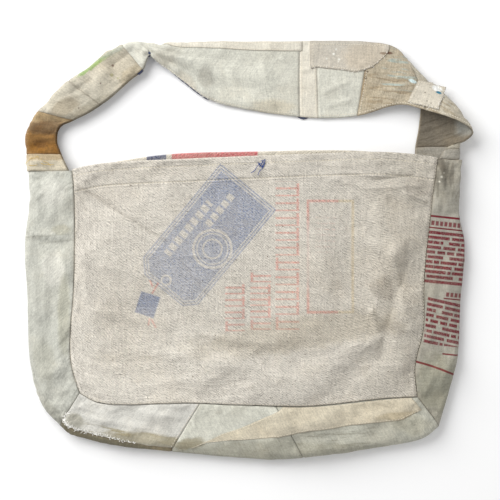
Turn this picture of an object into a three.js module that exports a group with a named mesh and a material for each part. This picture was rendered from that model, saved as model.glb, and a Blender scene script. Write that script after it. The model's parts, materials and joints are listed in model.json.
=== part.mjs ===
// A carrier's shoulder bag pieced together from printed cotton sacking, lying on its back.
// Two panels are joined on three sides by a folded gusset band, and a pieced, lined strap
// runs on from the tops of the band. The mouth is the +Y edge, and the strap lies beyond it.
//
// Millimetres, +X to the right of the front panel, +Y towards the mouth, +Z up.
// The origin is the middle of the back panel's outer face, on the floor.

import * as THREE from 'three';
import { mergeVertices } from 'three/addons/utils/BufferGeometryUtils.js';

// ---------------------------------------------------------------- driving dimensions

const PANEL_WIDTH = 444; // across the front panel, seam to seam, halfway up
const PANEL_HEIGHT = 314; // from the bottom seam to the mouth
const BAND_REACH = 60; // how far the folded gusset band stands out from the panels
const BAG_LOFT = 19; // height of the front panel over the floor when the bag is empty
const CLOTH = 1.4; // one layer of heavy sacking
const LIGHT_CLOTH = 1.2; // one layer of the finer cotton used for the strap and its lining
const PLY_GAP = 0.8; // air between two layers that lie on each other
const SEAM_GAP = 2.4; // between two cut edges, where the seam's thread runs
const BUTT_GAP = 1.4; // between two pieces of the band or strap that meet end to end
const THREAD_RADIUS = 0.45;
const HEM_DEPTH = 30; // from the mouth edge down to the hem's stitching
const HEM_TURN = 1.4; // radius of the turn at the mouth edge

const HALF_WIDTH = PANEL_WIDTH / 2;
const HALF_HEIGHT = PANEL_HEIGHT / 2;

// How finely sheets of cloth are meshed: steps across a sheet, and bends along each surface.
const STEPS_ACROSS = 8;
const PANEL_BENDS = 10;
const BAND_BENDS = 14;
const BENDS_PER_STATION = 4;
const SHORTEST_BEND = 0.0015; // share of a surface's length

// ---------------------------------------------------------------- cloth colours

const cloth = (color, roughness = 0.95) =>
  new THREE.MeshStandardMaterial({ color, roughness, metalness: 0 });
const SACKING = cloth(0xcfc4b4);
const PRINTED_SACKING = cloth(0xc9c2b6);
const PALE_COTTON = cloth(0xccccbf);
const GREY_COTTON = cloth(0xb4b3a5);
const CREAM_COTTON = cloth(0xd6cbb4);
const BEIGE_COTTON = cloth(0xbdb3a2);
const MUSTARD_COTTON = cloth(0xa1773b);
const TAN_COTTON = cloth(0xa99a80);
const BROWN_LINING = cloth(0x7d7263);
const NAVY_LINING = cloth(0x4d5872);
const PALE_THREAD = cloth(0xe4dccb, 0.8);
const BLUE_THREAD = cloth(0x3b4f86, 0.8);
const YELLOW_THREAD = cloth(0xc2a94e, 0.8);

// ---------------------------------------------------------------- curves and surfaces

const spline = (points) =>
  new THREE.CatmullRomCurve3(points.map(([x, y, z = 0]) => new THREE.Vector3(x, y, z)));

// A flat four-sided sheet filled in between its bottom, top, left and right edges.
function panelSurface(edges, height) {
  return (u, t) => {
    const s = (u + 1) / 2;
    const [bottom, top] = [edges.bottom.getPoint(s), edges.top.getPoint(s)];
    const [left, right] = [edges.left.getPoint(t), edges.right.getPoint(t)];
    const across = left.multiplyScalar(1 - s).addScaledVector(right, s);
    const along = bottom.multiplyScalar(1 - t).addScaledVector(top, t);
    const corners = edges.bottom.getPoint(0).multiplyScalar((1 - s) * (1 - t));
    corners.addScaledVector(edges.bottom.getPoint(1), s * (1 - t));
    corners.addScaledVector(edges.top.getPoint(0), (1 - s) * t);
    corners.addScaledVector(edges.top.getPoint(1), s * t);
    return across.add(along).sub(corners).setZ(height);
  };
}

// A strip folded along its middle. Its back edge is at u = -1, its crease at 0 and its front
// edge at 1. The crease is a quarter round on each side, and the legs run straight from there.
// Where its edges are spread far apart the strip is not folded, but a shallow arch.
function foldedSurface(backEdge, crease, frontEdge) {
  return (u, t) => {
    const [back, middle, front] = [backEdge, crease, frontEdge].map((curve) => curve.getPoint(t));
    const halfGap = front.clone().sub(back).multiplyScalar(0.5);
    const inward = front.clone().add(back).multiplyScalar(0.5).sub(middle);
    const openness = halfGap.length() / Math.max(inward.length(), 1e-6);
    const spread = THREE.MathUtils.smoothstep(openness, 1, 3);
    const round = Math.min(1, openness);
    const arcShare = ((Math.PI / 2) * round) / ((Math.PI / 2) * round + 1 - round);
    const v = Math.abs(u);
    const turn = (Math.PI / 2) * Math.min(1, v / arcShare);
    const leg = v > arcShare ? ((1 - round) * (v - arcShare)) / (1 - arcShare) : 0;
    const reach = THREE.MathUtils.lerp(round * (1 - Math.cos(turn)) + leg, u * u, spread);
    const across = THREE.MathUtils.lerp(Math.sign(u) * Math.sin(turn), u, spread);
    return middle.addScaledVector(inward, reach).addScaledVector(halfGap, across);
  };
}

function normalAt(surface, uEdge, tEdge) {
  const step = 1e-3;
  const u = THREE.MathUtils.clamp(uEdge, step - 1, 1 - step);
  const t = THREE.MathUtils.clamp(tEdge, step, tEdge > 1 ? tEdge : 1 - step);
  const alongU = surface(u + step, t).sub(surface(u - step, t));
  const alongT = surface(u, t + step).sub(surface(u, t - step));
  return alongU.cross(alongT).normalize();
}

const evenly = (count) => Array.from({ length: count + 1 }, (_, i) => i / count);

// A panel's mouth edge is turned in and runs back under it as a hem. Past t = 1 the sheet goes
// half way round a turn of HEM_TURN, then on along the panel's inside.
function hemmedSurface(panel, inwards) {
  return (u, t) => {
    if (t <= 1) return panel(u, t);
    const travel = (t - 1) * PANEL_HEIGHT;
    const angle = Math.min(Math.PI, travel / HEM_TURN);
    const back = Math.max(0, travel - Math.PI * HEM_TURN) / PANEL_HEIGHT;
    const point = panel(u, 1 - back);
    point.y += HEM_TURN * Math.sin(angle);
    point.z += inwards * HEM_TURN * (1 - Math.cos(angle));
    return point;
  };
}

// One cut piece of cloth: the part of a surface between u0, u1, t0 and t1, from `low` to `high`
// along the surface's normal. A meshed block is bent onto the surface, so its sides stay closed.
// Along its length it bends at the surface's own `bends`, so stacked layers bend together.
function clothSheet({ surface, bends }, cut) {
  const { u0 = -1, u1 = 1, t0 = 0, t1 = 1, low, high, across = STEPS_ACROSS } = cut;
  const inside = bends.filter((t) => t > t0 + SHORTEST_BEND && t < t1 - SHORTEST_BEND);
  const rows = [t0, ...inside, t1];
  const block = new THREE.BoxGeometry(1, 1, 1, across, rows.length - 1, 1);
  block.deleteAttribute('normal');
  block.deleteAttribute('uv');
  const sheet = mergeVertices(block);
  const corners = sheet.getAttribute('position');
  for (let i = 0; i < corners.count; i++) {
    const u = THREE.MathUtils.lerp(u0, u1, corners.getX(i) + 0.5);
    const t = rows[Math.round((corners.getY(i) + 0.5) * (rows.length - 1))];
    const offset = THREE.MathUtils.lerp(low, high, corners.getZ(i) + 0.5);
    const point = surface(u, t).addScaledVector(normalAt(surface, u, t), offset);
    corners.setXYZ(i, point.x, point.y, point.z);
  }
  return sheet;
}

// A run of sewing thread along a path.
function threadAlong(points, steps) {
  const section = new THREE.Shape();
  section.absarc(0, 0, THREAD_RADIUS, 0, 2 * Math.PI);
  return new THREE.ExtrudeGeometry(section, {
    extrudePath: spline(points), steps, curveSegments: 2, bevelEnabled: false,
  });
}

const bag = new THREE.Group();

function add(name, geometry, material) {
  const mesh = new THREE.Mesh(geometry, material);
  mesh.name = name;
  bag.add(mesh);
  return mesh;
}

// ---------------------------------------------------------------- outlines of the bag

// The panels are hand-cut: each edge bows a few millimetres off the true rectangle.
const frontCorner = {
  bottomLeft: [6 - HALF_WIDTH, 15.5 - HALF_HEIGHT],
  bottomRight: [HALF_WIDTH - 9.5, 10.5 - HALF_HEIGHT],
  topLeft: [-3.5 - HALF_WIDTH, HALF_HEIGHT - 16],
  topRight: [HALF_WIDTH + 16, HALF_HEIGHT - 1],
};
const frontEdges = {
  bottom: spline([
    frontCorner.bottomLeft,
    [32 - HALF_WIDTH, 3 - HALF_HEIGHT],
    [-10, -HALF_HEIGHT],
    [HALF_WIDTH - 141, -1 - HALF_HEIGHT],
    [HALF_WIDTH - 56, 8 - HALF_HEIGHT],
    frontCorner.bottomRight,
  ]),
  top: spline([
    frontCorner.topLeft,
    [32 - HALF_WIDTH, HALF_HEIGHT - 9],
    [-63, HALF_HEIGHT - 2],
    [63, HALF_HEIGHT + 3],
    [HALF_WIDTH - 57, HALF_HEIGHT + 6],
    frontCorner.topRight,
  ]),
  left: spline([
    frontCorner.bottomLeft,
    [-6.5 - HALF_WIDTH, 73 - HALF_HEIGHT],
    [-1 - HALF_WIDTH, 5],
    [-1.5 - HALF_WIDTH, HALF_HEIGHT - 37],
    frontCorner.topLeft,
  ]),
  right: spline([
    frontCorner.bottomRight,
    [HALF_WIDTH - 12.5, 50 - HALF_HEIGHT],
    [HALF_WIDTH - 2, 97 - HALF_HEIGHT],
    [HALF_WIDTH - 1, 0],
    [HALF_WIDTH + 9, HALF_HEIGHT - 56],
    frontCorner.topRight,
  ]),
};

const BACK_SHOWING = 7; // the back panel's mouth edge stands this far past the front one
const backCorner = {
  bottomLeft: [6 - HALF_WIDTH, 7 - HALF_HEIGHT],
  bottomRight: [HALF_WIDTH - 11, 4 - HALF_HEIGHT],
  topLeft: [-1.5 - HALF_WIDTH, HALF_HEIGHT - 15],
  topRight: [HALF_WIDTH - 9, HALF_HEIGHT],
};
const backEdges = {
  bottom: spline([backCorner.bottomLeft, [0, -HALF_HEIGHT], backCorner.bottomRight]),
  top: spline([
    backCorner.topLeft,
    [-HALF_WIDTH / 2, HALF_HEIGHT - 4 + BACK_SHOWING],
    [0, HALF_HEIGHT + BACK_SHOWING],
    [HALF_WIDTH - 82, HALF_HEIGHT + 1 + BACK_SHOWING],
    backCorner.topRight,
  ]),
  left: spline([backCorner.bottomLeft, [-HALF_WIDTH, 0], backCorner.topLeft]),
  right: spline([backCorner.bottomRight, [HALF_WIDTH - 10, 0], backCorner.topRight]),
};

// The gusset band's crease is the bag's outer outline. It starts BAND_REACH outside the panels
// and draws in at the two bottom corners, where the band's pieces meet in a slanting seam.
const CREASE_HEIGHT = 9;
const creaseCorner = {
  bottomLeft: [-HALF_WIDTH - 18.5, -HALF_HEIGHT - 27.5, CREASE_HEIGHT],
  bottomRight: [HALF_WIDTH + 17.5, -HALF_HEIGHT - 28.5, CREASE_HEIGHT],
};
const creases = {
  left: spline([
    creaseCorner.bottomLeft,
    [-HALF_WIDTH - 34.5, -HALF_HEIGHT - 8, CREASE_HEIGHT],
    [-HALF_WIDTH - 47, 19.5 - HALF_HEIGHT, CREASE_HEIGHT],
    [-HALF_WIDTH - 57, 58 - HALF_HEIGHT, CREASE_HEIGHT],
    [-HALF_WIDTH - BAND_REACH - 1, -23, CREASE_HEIGHT],
    [-HALF_WIDTH - BAND_REACH - 4, 47, CREASE_HEIGHT],
    [-HALF_WIDTH - BAND_REACH, HALF_HEIGHT - 16, CREASE_HEIGHT],
  ]),
  bottom: spline([
    creaseCorner.bottomLeft,
    [2 - HALF_WIDTH, -HALF_HEIGHT - 38, CREASE_HEIGHT],
    [56 - HALF_WIDTH, -HALF_HEIGHT - 51.5, CREASE_HEIGHT],
    [-89, -HALF_HEIGHT - BAND_REACH, CREASE_HEIGHT],
    [32, -HALF_HEIGHT - BAND_REACH - 9, CREASE_HEIGHT],
    [89, -HALF_HEIGHT - BAND_REACH - 4, CREASE_HEIGHT],
    [HALF_WIDTH - 42, -HALF_HEIGHT - 51, CREASE_HEIGHT],
    [HALF_WIDTH - 4, -HALF_HEIGHT - 43, CREASE_HEIGHT],
    creaseCorner.bottomRight,
  ]),
  right: spline([
    creaseCorner.bottomRight,
    [HALF_WIDTH + 28, 7 - HALF_HEIGHT, CREASE_HEIGHT],
    [HALF_WIDTH + 41, 58 - HALF_HEIGHT, CREASE_HEIGHT],
    [HALF_WIDTH + 45, -23, CREASE_HEIGHT],
    [HALF_WIDTH + 50, 53, CREASE_HEIGHT],
    [HALF_WIDTH + 41, 91, CREASE_HEIGHT],
    [HALF_WIDTH + 43, HALF_HEIGHT - 2, CREASE_HEIGHT],
  ]),
};

const atHeight = (curve, z) => new THREE.CatmullRomCurve3(curve.points.map((p) => p.clone().setZ(z)));
const BAND_TOP = BAG_LOFT;
const BAND_UNDER = 2.6; // the band's back leg lies just over the floor

const bandOn = (side) =>
  foldedSurface(atHeight(backEdges[side], BAND_UNDER), creases[side], atHeight(frontEdges[side], BAND_TOP));
const turned = (surface) => (u, t) => surface(u, 1 - t);

// Each side runs clockwise round the panels, so that the band's normals all point outwards:
// down the right side, from right to left along the bottom, and up the left side.
const bandSurfaces = {
  left: bandOn('left'),
  bottom: turned(bandOn('bottom')),
  right: turned(bandOn('right')),
};
const onBand = (side) => ({ surface: bandSurfaces[side], bends: evenly(BAND_BENDS) });

// ---------------------------------------------------------------- panels

const frontSurface = panelSurface(frontEdges, BAG_LOFT);
const backSurface = panelSurface(backEdges, CLOTH / 2);
const singlePly = { low: -CLOTH / 2, high: CLOTH / 2 };

// The three sewn edges are cut back to leave room for the seam's thread; the mouth edge is not.
const sideCut = SEAM_GAP / PANEL_WIDTH;

// The hem bends round its turn and ends at its raw edge, a little past its stitching.
const TURN_STEPS = 4;
const HEM_END = 1 + (Math.PI * HEM_TURN + HEM_DEPTH + 4) / PANEL_HEIGHT;
const turnBends = evenly(TURN_STEPS).map((share) => 1 + (share * Math.PI * HEM_TURN) / PANEL_HEIGHT);
const panelBends = [...evenly(PANEL_BENDS), ...turnBends.slice(1)];
const panelCut = {
  ...singlePly,
  u0: 2 * sideCut - 1,
  u1: 1 - 2 * sideCut,
  t0: SEAM_GAP / PANEL_HEIGHT,
  t1: HEM_END,
  across: 12,
};
const hemmed = (panel, inwards) =>
  clothSheet({ surface: hemmedSurface(panel, inwards), bends: panelBends }, panelCut);

add('front_panel', hemmed(frontSurface, -1), SACKING);
add('back_panel', hemmed(backSurface, 1), PRINTED_SACKING);

// ---------------------------------------------------------------- gusset band

const EDGE_TRIM = SEAM_GAP / BAND_REACH; // share of a leg cut back for the panel seam
const SIDE_TRIM = BUTT_GAP / PANEL_HEIGHT;
const BOTTOM_TRIM = BUTT_GAP / PANEL_WIDTH;
const bandPly = { ...singlePly, u0: -1 + EDGE_TRIM, u1: 1 - EDGE_TRIM };

const sidePly = { ...bandPly, t0: SIDE_TRIM, t1: 1 - SIDE_TRIM };
add('left_gusset', clothSheet(onBand('left'), sidePly), PALE_COTTON);
add('right_gusset', clothSheet(onBand('right'), sidePly), GREY_COTTON);

// The bottom of the band is pieced from three lengths. The left one stops just in front of the
// crease, where a strip of darker cotton takes over underneath.
const RIGHT_JOIN = 0.42; // along the bottom, from the right corner
const LEFT_JOIN = 0.64;
const UNDER_JOIN = 0.16; // across the band, from the crease towards the front seam
const JOIN_TRIM = 0.02;

add('bottom_gusset_left', clothSheet(onBand('bottom'), {
  ...bandPly, u0: UNDER_JOIN + JOIN_TRIM, t0: LEFT_JOIN + BOTTOM_TRIM, t1: 1 - BOTTOM_TRIM, across: 5,
}), PALE_COTTON);
add('bottom_gusset_under', clothSheet(onBand('bottom'), {
  ...bandPly, u1: UNDER_JOIN - JOIN_TRIM, t0: LEFT_JOIN + BOTTOM_TRIM, t1: 1 - BOTTOM_TRIM, across: 6,
}), TAN_COTTON);
add('bottom_gusset_middle', clothSheet(onBand('bottom'), {
  ...bandPly, t0: RIGHT_JOIN + BOTTOM_TRIM, t1: LEFT_JOIN - BOTTOM_TRIM,
}), PALE_COTTON);
add('bottom_gusset_right', clothSheet(onBand('bottom'), {
  ...bandPly, t0: BOTTOM_TRIM, t1: RIGHT_JOIN - BOTTOM_TRIM,
}), GREY_COTTON);

// A cream patch is sewn over the front leg, from the middle piece to the right corner.
add('bottom_patch', clothSheet(onBand('bottom'), {
  u0: 0.5, u1: 1 - 2 * EDGE_TRIM, t0: 0.03, t1: 0.6,
  low: CLOTH / 2 + PLY_GAP, high: CLOTH / 2 + PLY_GAP + LIGHT_CLOTH, across: 4,
}), CREAM_COTTON);

// ---------------------------------------------------------------- strap

// The strap runs from the left top of the band, over to the right, and back down to the band.
// Each station gives its back edge, its middle and its front edge. From the left it is folded
// in half, edges together, with the crease on the outside of the bend; it is pinched at the
// top, spreads out flat, then turns over on itself at the right and curls down to the band.
const FOLD_UNDER = 2; // height of the lower edge where the strap is folded in half
const folded = (crease, edge, edgeHeight) => ({
  back: [edge[0], edge[1], FOLD_UNDER],
  middle: [crease[0], crease[1], (edgeHeight + FOLD_UNDER) / 2],
  front: [edge[0], edge[1], edgeHeight],
});

const stations = [
  folded([-282, 142.5], [-236, 143.5], 17),
  folded([-284, 162], [-241, 162], 14),
  folded([-284.5, 180], [-247, 181], 12),
  folded([-280, 199], [-243, 197], 12),
  folded([-269, 217], [-226, 206], 12),
  folded([-247.5, 239], [-206, 216], 12),
  folded([-217, 264], [-181.5, 232.5], 12),
  folded([-185.5, 289.5], [-152.5, 258], 12),
  folded([-162.5, 301], [-137, 270.5], 12),
  { back: [-129, 289, 3], middle: [-141, 305, 9], front: [-127.5, 288, 13] },
  { back: [-114, 300, 3], middle: [-118, 295, 13], front: [-117, 281, 9] },
  { back: [-79, 305, 3], middle: [-84, 283, 10], front: [-84, 255, 4] },
  { back: [-36, 307, 2], middle: [-44.5, 270.5, 7], front: [-47, 231, 3] },
  { back: [23, 307, 2], middle: [18, 261.5, 5], front: [15, 217, 2.5] },
  { back: [86.5, 308, 2], middle: [87.5, 258, 5], front: [89, 209, 2.5] },
  { back: [155, 306, 3], middle: [147.5, 260.5, 7], front: [139.5, 212, 4] },
  { back: [186, 298.5, 7.5], middle: [188, 260.5, 10], front: [190.5, 225, 13] },
  { back: [200, 284, 9.5], middle: [216, 250, 14], front: [222, 217, 22] },
  { back: [207, 272, 8], middle: [241, 239, 15], front: [260.5, 204, 28] },
  { back: [211.5, 258, 4.5], middle: [254, 230, 11], front: [282, 189, 23] },
  { back: [218.5, 232.5, 2.5], middle: [260, 209.5, 6], front: [273, 179, 18.5] },
  { back: [216, 197, 2.5], middle: [259, 189, 6], front: [257, 174, 17.5] },
  { back: [211.5, 171.5, 2.5], middle: [259, 171.5, 8], front: [247, 168, 18] },
  { back: [210, 160, 2.5], middle: [260, 159, 9], front: [242, 160.5, 18.5] },
];
const rail = (edge) => spline(stations.map((station) => station[edge]));
const LAST_STATION = stations.length - 1;
const strap = {
  surface: foldedSurface(rail('back'), rail('middle'), rail('front')),
  bends: evenly(BENDS_PER_STATION * LAST_STATION),
};

const outerPly = { low: PLY_GAP / 2, high: PLY_GAP / 2 + LIGHT_CLOTH };
const liningPly = { low: -PLY_GAP / 2 - LIGHT_CLOTH, high: -PLY_GAP / 2 };
const patchPly = { low: outerPly.high + PLY_GAP, high: outerPly.high + PLY_GAP + LIGHT_CLOTH };

// Pieces meet at a station number, and each stops BUTT_GAP / 2 short of it.
const STATION_LENGTH = 34; // mean distance between stations
const trim = BUTT_GAP / 2 / STATION_LENGTH;
const between = (from, to) => ({ t0: (from + trim) / LAST_STATION, t1: (to - trim) / LAST_STATION });

// The swinging part leaves more room at its two ends, where it turns against the fixed anchors.
const HINGE_TRIM = 3 / STATION_LENGTH;
const LEFT_HINGE = 1;
const RIGHT_HINGE = 22;

const outerPieces = [
  ['strap_left_anchor', 0, LEFT_HINGE, BEIGE_COTTON],
  ['strap_stained_piece', LEFT_HINGE + HINGE_TRIM, 4, MUSTARD_COTTON],
  ['strap_lower_left_piece', 4, 5.6, BEIGE_COTTON],
  ['strap_upper_left_piece', 5.6, 8, BEIGE_COTTON],
  ['strap_middle_piece', 8, 13.65, PALE_COTTON],
  ['strap_join_band', 13.65, 13.98, CREAM_COTTON],
  ['strap_white_piece', 13.98, 14.95, PALE_COTTON],
  ['strap_tan_piece', 14.95, 17, TAN_COTTON],
  ['strap_curve_piece', 17, 19.4, TAN_COTTON],
  ['strap_return_piece', 19.4, RIGHT_HINGE - HINGE_TRIM, TAN_COTTON],
  ['strap_right_anchor', RIGHT_HINGE, LAST_STATION, GREY_COTTON],
];
for (const [name, from, to, material] of outerPieces) {
  add(name, clothSheet(strap, { ...between(from, to), ...outerPly }), material);
}

const liningPieces = [
  ['lining_left_anchor', 0, LEFT_HINGE, BEIGE_COTTON],
  ['lining_left', LEFT_HINGE + HINGE_TRIM, 8, NAVY_LINING],
  ['lining_middle', 8, 14.5, NAVY_LINING],
  ['lining_right', 14.5, RIGHT_HINGE - HINGE_TRIM, BROWN_LINING],
  ['lining_right_anchor', RIGHT_HINGE, LAST_STATION, GREY_COTTON],
];
for (const [name, from, to, material] of liningPieces) {
  add(name, clothSheet(strap, { ...between(from, to), ...liningPly }), material);
}

// Patches and the binding lie on the outer cloth.
add('strap_binding', clothSheet(strap, {
  ...between(10.9, 13.6), ...patchPly, u0: -0.98, u1: -0.7, across: 2,
}), CREAM_COTTON);
add('strap_top_patch', clothSheet(strap, {
  ...between(14, 15.5), ...patchPly, u0: -0.98, u1: -0.2, across: 4,
}), BEIGE_COTTON);
add('strap_tab_patch', clothSheet(strap, {
  ...between(16.75, 17.7), ...patchPly, u0: -0.6, u1: 0.9, across: 4,
}), BEIGE_COTTON);

// ---------------------------------------------------------------- thread

// Thread closes each panel seam, in the gap between the panel and the band.
const SEAM_STEPS = 20;
const SEAM_SAMPLES = 8;

const seamed = [['front', frontEdges, BAG_LOFT], ['back', backEdges, CLOTH / 2 + 0.1]];
for (const [panel, edges, height] of seamed) {
  for (const side of ['left', 'bottom', 'right']) {
    const path = Array.from({ length: SEAM_SAMPLES + 1 }, (_, i) => {
      const point = edges[side].getPoint(THREE.MathUtils.lerp(0.02, 0.98, i / SEAM_SAMPLES));
      return [point.x, point.y, height];
    });
    add(`${panel}_${side}_seam_thread`, threadAlong(path, SEAM_STEPS), PALE_THREAD);
  }
}

// Each mouth hem is held by one row of stitching across its panel.
const HEM_STEPS = 16;
const THREAD_LIFT = CLOTH / 2 + PLY_GAP + THREAD_RADIUS;

function hemPath(edges, height) {
  const inset = 6;
  const end = (corner, side) => [corner.x + side * inset, corner.y - HEM_DEPTH, height];
  const middle = edges.top.getPoint(0.5);
  return [
    end(edges.top.getPoint(0), 1),
    [middle.x, middle.y - HEM_DEPTH, height],
    end(edges.top.getPoint(1), -1),
  ];
}

add('front_hem_thread', threadAlong(hemPath(frontEdges, BAG_LOFT + THREAD_LIFT), HEM_STEPS), PALE_THREAD);
const backHemHeight = CLOTH / 2 + 2 * HEM_TURN + THREAD_LIFT; // on the hem, inside the bag
add('back_hem_thread', threadAlong(hemPath(backEdges, backHemHeight), HEM_STEPS), PALE_THREAD);

// A knot of blue thread sits by the mouth, and an end of yellow thread hangs on the left anchor.
const KNOT_RADIUS = 3;
const tangle = new THREE.TorusKnotGeometry(KNOT_RADIUS, THREAD_RADIUS, 40, 4, 2, 3);
const knot = add('blue_thread_knot', tangle, BLUE_THREAD);
knot.position.set(17, HALF_HEIGHT - 2, BAG_LOFT + CLOTH / 2 + PLY_GAP + 0.55 * KNOT_RADIUS);

const YELLOW_HEIGHT = BAG_LOFT + 1.5;
add('yellow_thread_end', threadAlong([
  [-276, 150, YELLOW_HEIGHT - 1],
  [-266, 153, YELLOW_HEIGHT],
  [-256, 158, YELLOW_HEIGHT],
  [-265, 160, YELLOW_HEIGHT],
  [-275, 156, YELLOW_HEIGHT - 1],
], 14), YELLOW_THREAD);

export default bag;
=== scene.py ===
import json
import math
import bpy
import numpy as np
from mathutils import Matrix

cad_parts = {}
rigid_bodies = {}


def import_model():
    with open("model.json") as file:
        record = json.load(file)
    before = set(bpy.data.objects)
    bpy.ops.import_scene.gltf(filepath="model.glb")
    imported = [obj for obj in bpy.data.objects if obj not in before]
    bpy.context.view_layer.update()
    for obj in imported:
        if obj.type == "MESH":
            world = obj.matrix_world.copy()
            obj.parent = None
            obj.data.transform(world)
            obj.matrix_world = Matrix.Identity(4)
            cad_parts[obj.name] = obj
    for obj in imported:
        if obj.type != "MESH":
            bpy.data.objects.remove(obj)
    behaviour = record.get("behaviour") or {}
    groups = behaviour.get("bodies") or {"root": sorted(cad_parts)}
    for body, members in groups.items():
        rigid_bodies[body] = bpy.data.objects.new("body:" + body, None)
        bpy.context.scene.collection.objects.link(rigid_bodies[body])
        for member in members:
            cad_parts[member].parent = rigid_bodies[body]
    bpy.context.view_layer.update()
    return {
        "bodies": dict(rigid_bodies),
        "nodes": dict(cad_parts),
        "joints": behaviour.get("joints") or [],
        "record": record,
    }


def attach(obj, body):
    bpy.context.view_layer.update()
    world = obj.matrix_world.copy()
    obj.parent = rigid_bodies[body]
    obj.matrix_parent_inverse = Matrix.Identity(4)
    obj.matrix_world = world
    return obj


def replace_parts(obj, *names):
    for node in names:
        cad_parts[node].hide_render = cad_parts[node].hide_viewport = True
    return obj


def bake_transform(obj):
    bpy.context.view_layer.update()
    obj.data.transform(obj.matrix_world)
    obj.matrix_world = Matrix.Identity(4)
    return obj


# A carrier's shoulder bag pieced from printed cotton sacking, lying on its back.
# Lengths are millimetres in the frame's axes until a mesh is made, which is in metres.

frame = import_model()
MM = 0.001

# ------------------------------------------------------------------ outlines, as in the CAD

HALF_HEIGHT = 157
LOFT = 19
CREASE_Z, UNDER_Z = 9, 2.6
PLY = 1.4
HEM_DEPTH, HEM_TURN = 30, 1.4
HEM_LINE, MOUTH_LINE = 27, 7.5

FRONT = {
    "bottom": [(-216, -141.5), (-190, -154), (-75, -154.5), (-10, -157), (81, -158), (166, -149),
               (212.5, -146.5)],
    "top": [(-225.5, 141), (-190, 148), (-63, 155), (63, 160), (165, 163), (203, 160.5), (238, 156)],
    "left": [(-216, -141.5), (-225, -112), (-228.5, -84), (-223, 5), (-223.5, 120), (-225.5, 141)],
    "right": [(212.5, -146.5), (209.5, -107), (220, -60), (221, 0), (231, 101), (238, 156)],
}
BACK = {
    "bottom": [(-216, -150), (0, -157), (211, -153)],
    "top": [(-223.5, 142), (-111, 160), (0, 164), (140, 165), (213, 157)],
    "left": [(-216, -150), (-222, 0), (-223.5, 142)],
    "right": [(211, -153), (212, 0), (213, 157)],
}
CREASE = {
    "left": [(-240.5, -184.5), (-256.5, -165), (-269, -137.5), (-279, -99), (-283, -23), (-286, 47),
             (-279.5, 104), (-282, 141)],
    "bottom": [(-240.5, -184.5), (-220, -195), (-166, -208.5), (-89, -217), (32, -226), (89, -221),
               (180, -208), (218, -200), (239.5, -185.5)],
    "right": [(239.5, -185.5), (250, -150), (263, -99), (267, -23), (272, 53), (263, 91), (263, 129),
              (265, 155)],
}
# The strap's stations from the left end of the band round to the right: back edge, middle, front edge.
STRAP = [
    [(-236, 143.5, 2), (-282, 142.5, 9.5), (-236, 143.5, 17)],
    [(-241, 162, 2), (-284, 162, 8), (-241, 162, 14)],
    [(-247, 181, 2), (-284.5, 180, 7), (-247, 181, 12)],
    [(-243, 197, 2), (-280, 199, 7), (-243, 197, 12)],
    [(-226, 206, 2), (-269, 217, 7), (-226, 206, 12)],
    [(-206, 216, 2), (-247.5, 239, 7), (-206, 216, 12)],
    [(-181.5, 232.5, 2), (-217, 264, 7), (-181.5, 232.5, 12)],
    [(-152.5, 258, 2), (-185.5, 289.5, 7), (-152.5, 258, 12)],
    [(-137, 270.5, 2), (-162.5, 301, 7), (-137, 270.5, 12)],
    [(-129, 289, 3), (-141, 305, 9), (-127.5, 288, 13)],
    [(-114, 300, 3), (-118, 295, 13), (-117, 281, 9)],
    [(-79, 305, 3), (-84, 283, 10), (-84, 255, 4)],
    [(-36, 307, 2), (-44.5, 270.5, 7), (-47, 231, 3)],
    [(23, 307, 2), (18, 261.5, 5), (15, 217, 2.5)],
    [(86.5, 308, 2), (87.5, 258, 5), (89, 209, 2.5)],
    [(155, 306, 3), (147.5, 260.5, 7), (139.5, 212, 4)],
    [(186, 298.5, 7.5), (188, 260.5, 10), (190.5, 225, 13)],
    [(200, 284, 9.5), (216, 250, 14), (222, 217, 22)],
    [(207, 272, 8), (241, 239, 15), (260.5, 204, 28)],
    [(211.5, 258, 4.5), (254, 230, 11), (282, 189, 23)],
    [(218.5, 232.5, 2.5), (260, 209.5, 6), (273, 179, 18.5)],
    [(216, 197, 2.5), (259, 189, 6), (257, 174, 17.5)],
    [(211.5, 171.5, 2.5), (259, 171.5, 8), (247, 168, 18)],
    [(210, 160, 2.5), (260, 159, 9), (242, 160.5, 18.5)],
]
# At its two feet the cloth is drawn down to the band's, where the CAD keeps them apart.
STRAP[0] = [(-231, 141, 2), (-281.5, 140.6, 9.3), (-231, 141, 18)]
STRAP[-1] = [(211, 156.8, 2.2), (259.5, 155, 9), (240, 156.2, 18.6)]
LAST = len(STRAP) - 1


def rail(points):
    """A centripetal Catmull-Rom curve through points, read at a share of its run from 0 to 1."""
    p = np.array([tuple(q) + (0,) * (3 - len(q)) for q in points], float)
    p = np.vstack([2 * p[0] - p[1], p, 2 * p[-1] - p[-2]])

    def at(t):
        t = np.clip(np.asarray(t, float), 0, 1) * (len(p) - 3)
        i = np.minimum(t.astype(int), len(p) - 4)
        w = (t - i)[..., None]
        a, b, c, d = p[i], p[i + 1], p[i + 2], p[i + 3]
        spans = ((b, a), (c, b), (d, c))
        k0, k1, k2 = (np.sqrt(np.linalg.norm(e - f, axis=-1, keepdims=True)) + 1e-4 for e, f in spans)
        m1 = ((b - a) / k0 - (c - a) / (k0 + k1) + (c - b) / k1) * k1
        m2 = ((c - b) / k1 - (d - b) / (k1 + k2) + (d - c) / k2) * k1
        return b + m1 * w + (3 * (c - b) - 2 * m1 - m2) * w**2 + (2 * (b - c) + m1 + m2) * w**3

    return at


def over(t):
    """The share of the panel that the cloth lies over or under: the hem runs back from the mouth."""
    return np.where(t > 1, 1 - np.maximum(0, t - 1 - math.pi * HEM_TURN / (2 * HALF_HEIGHT)), t)


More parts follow.
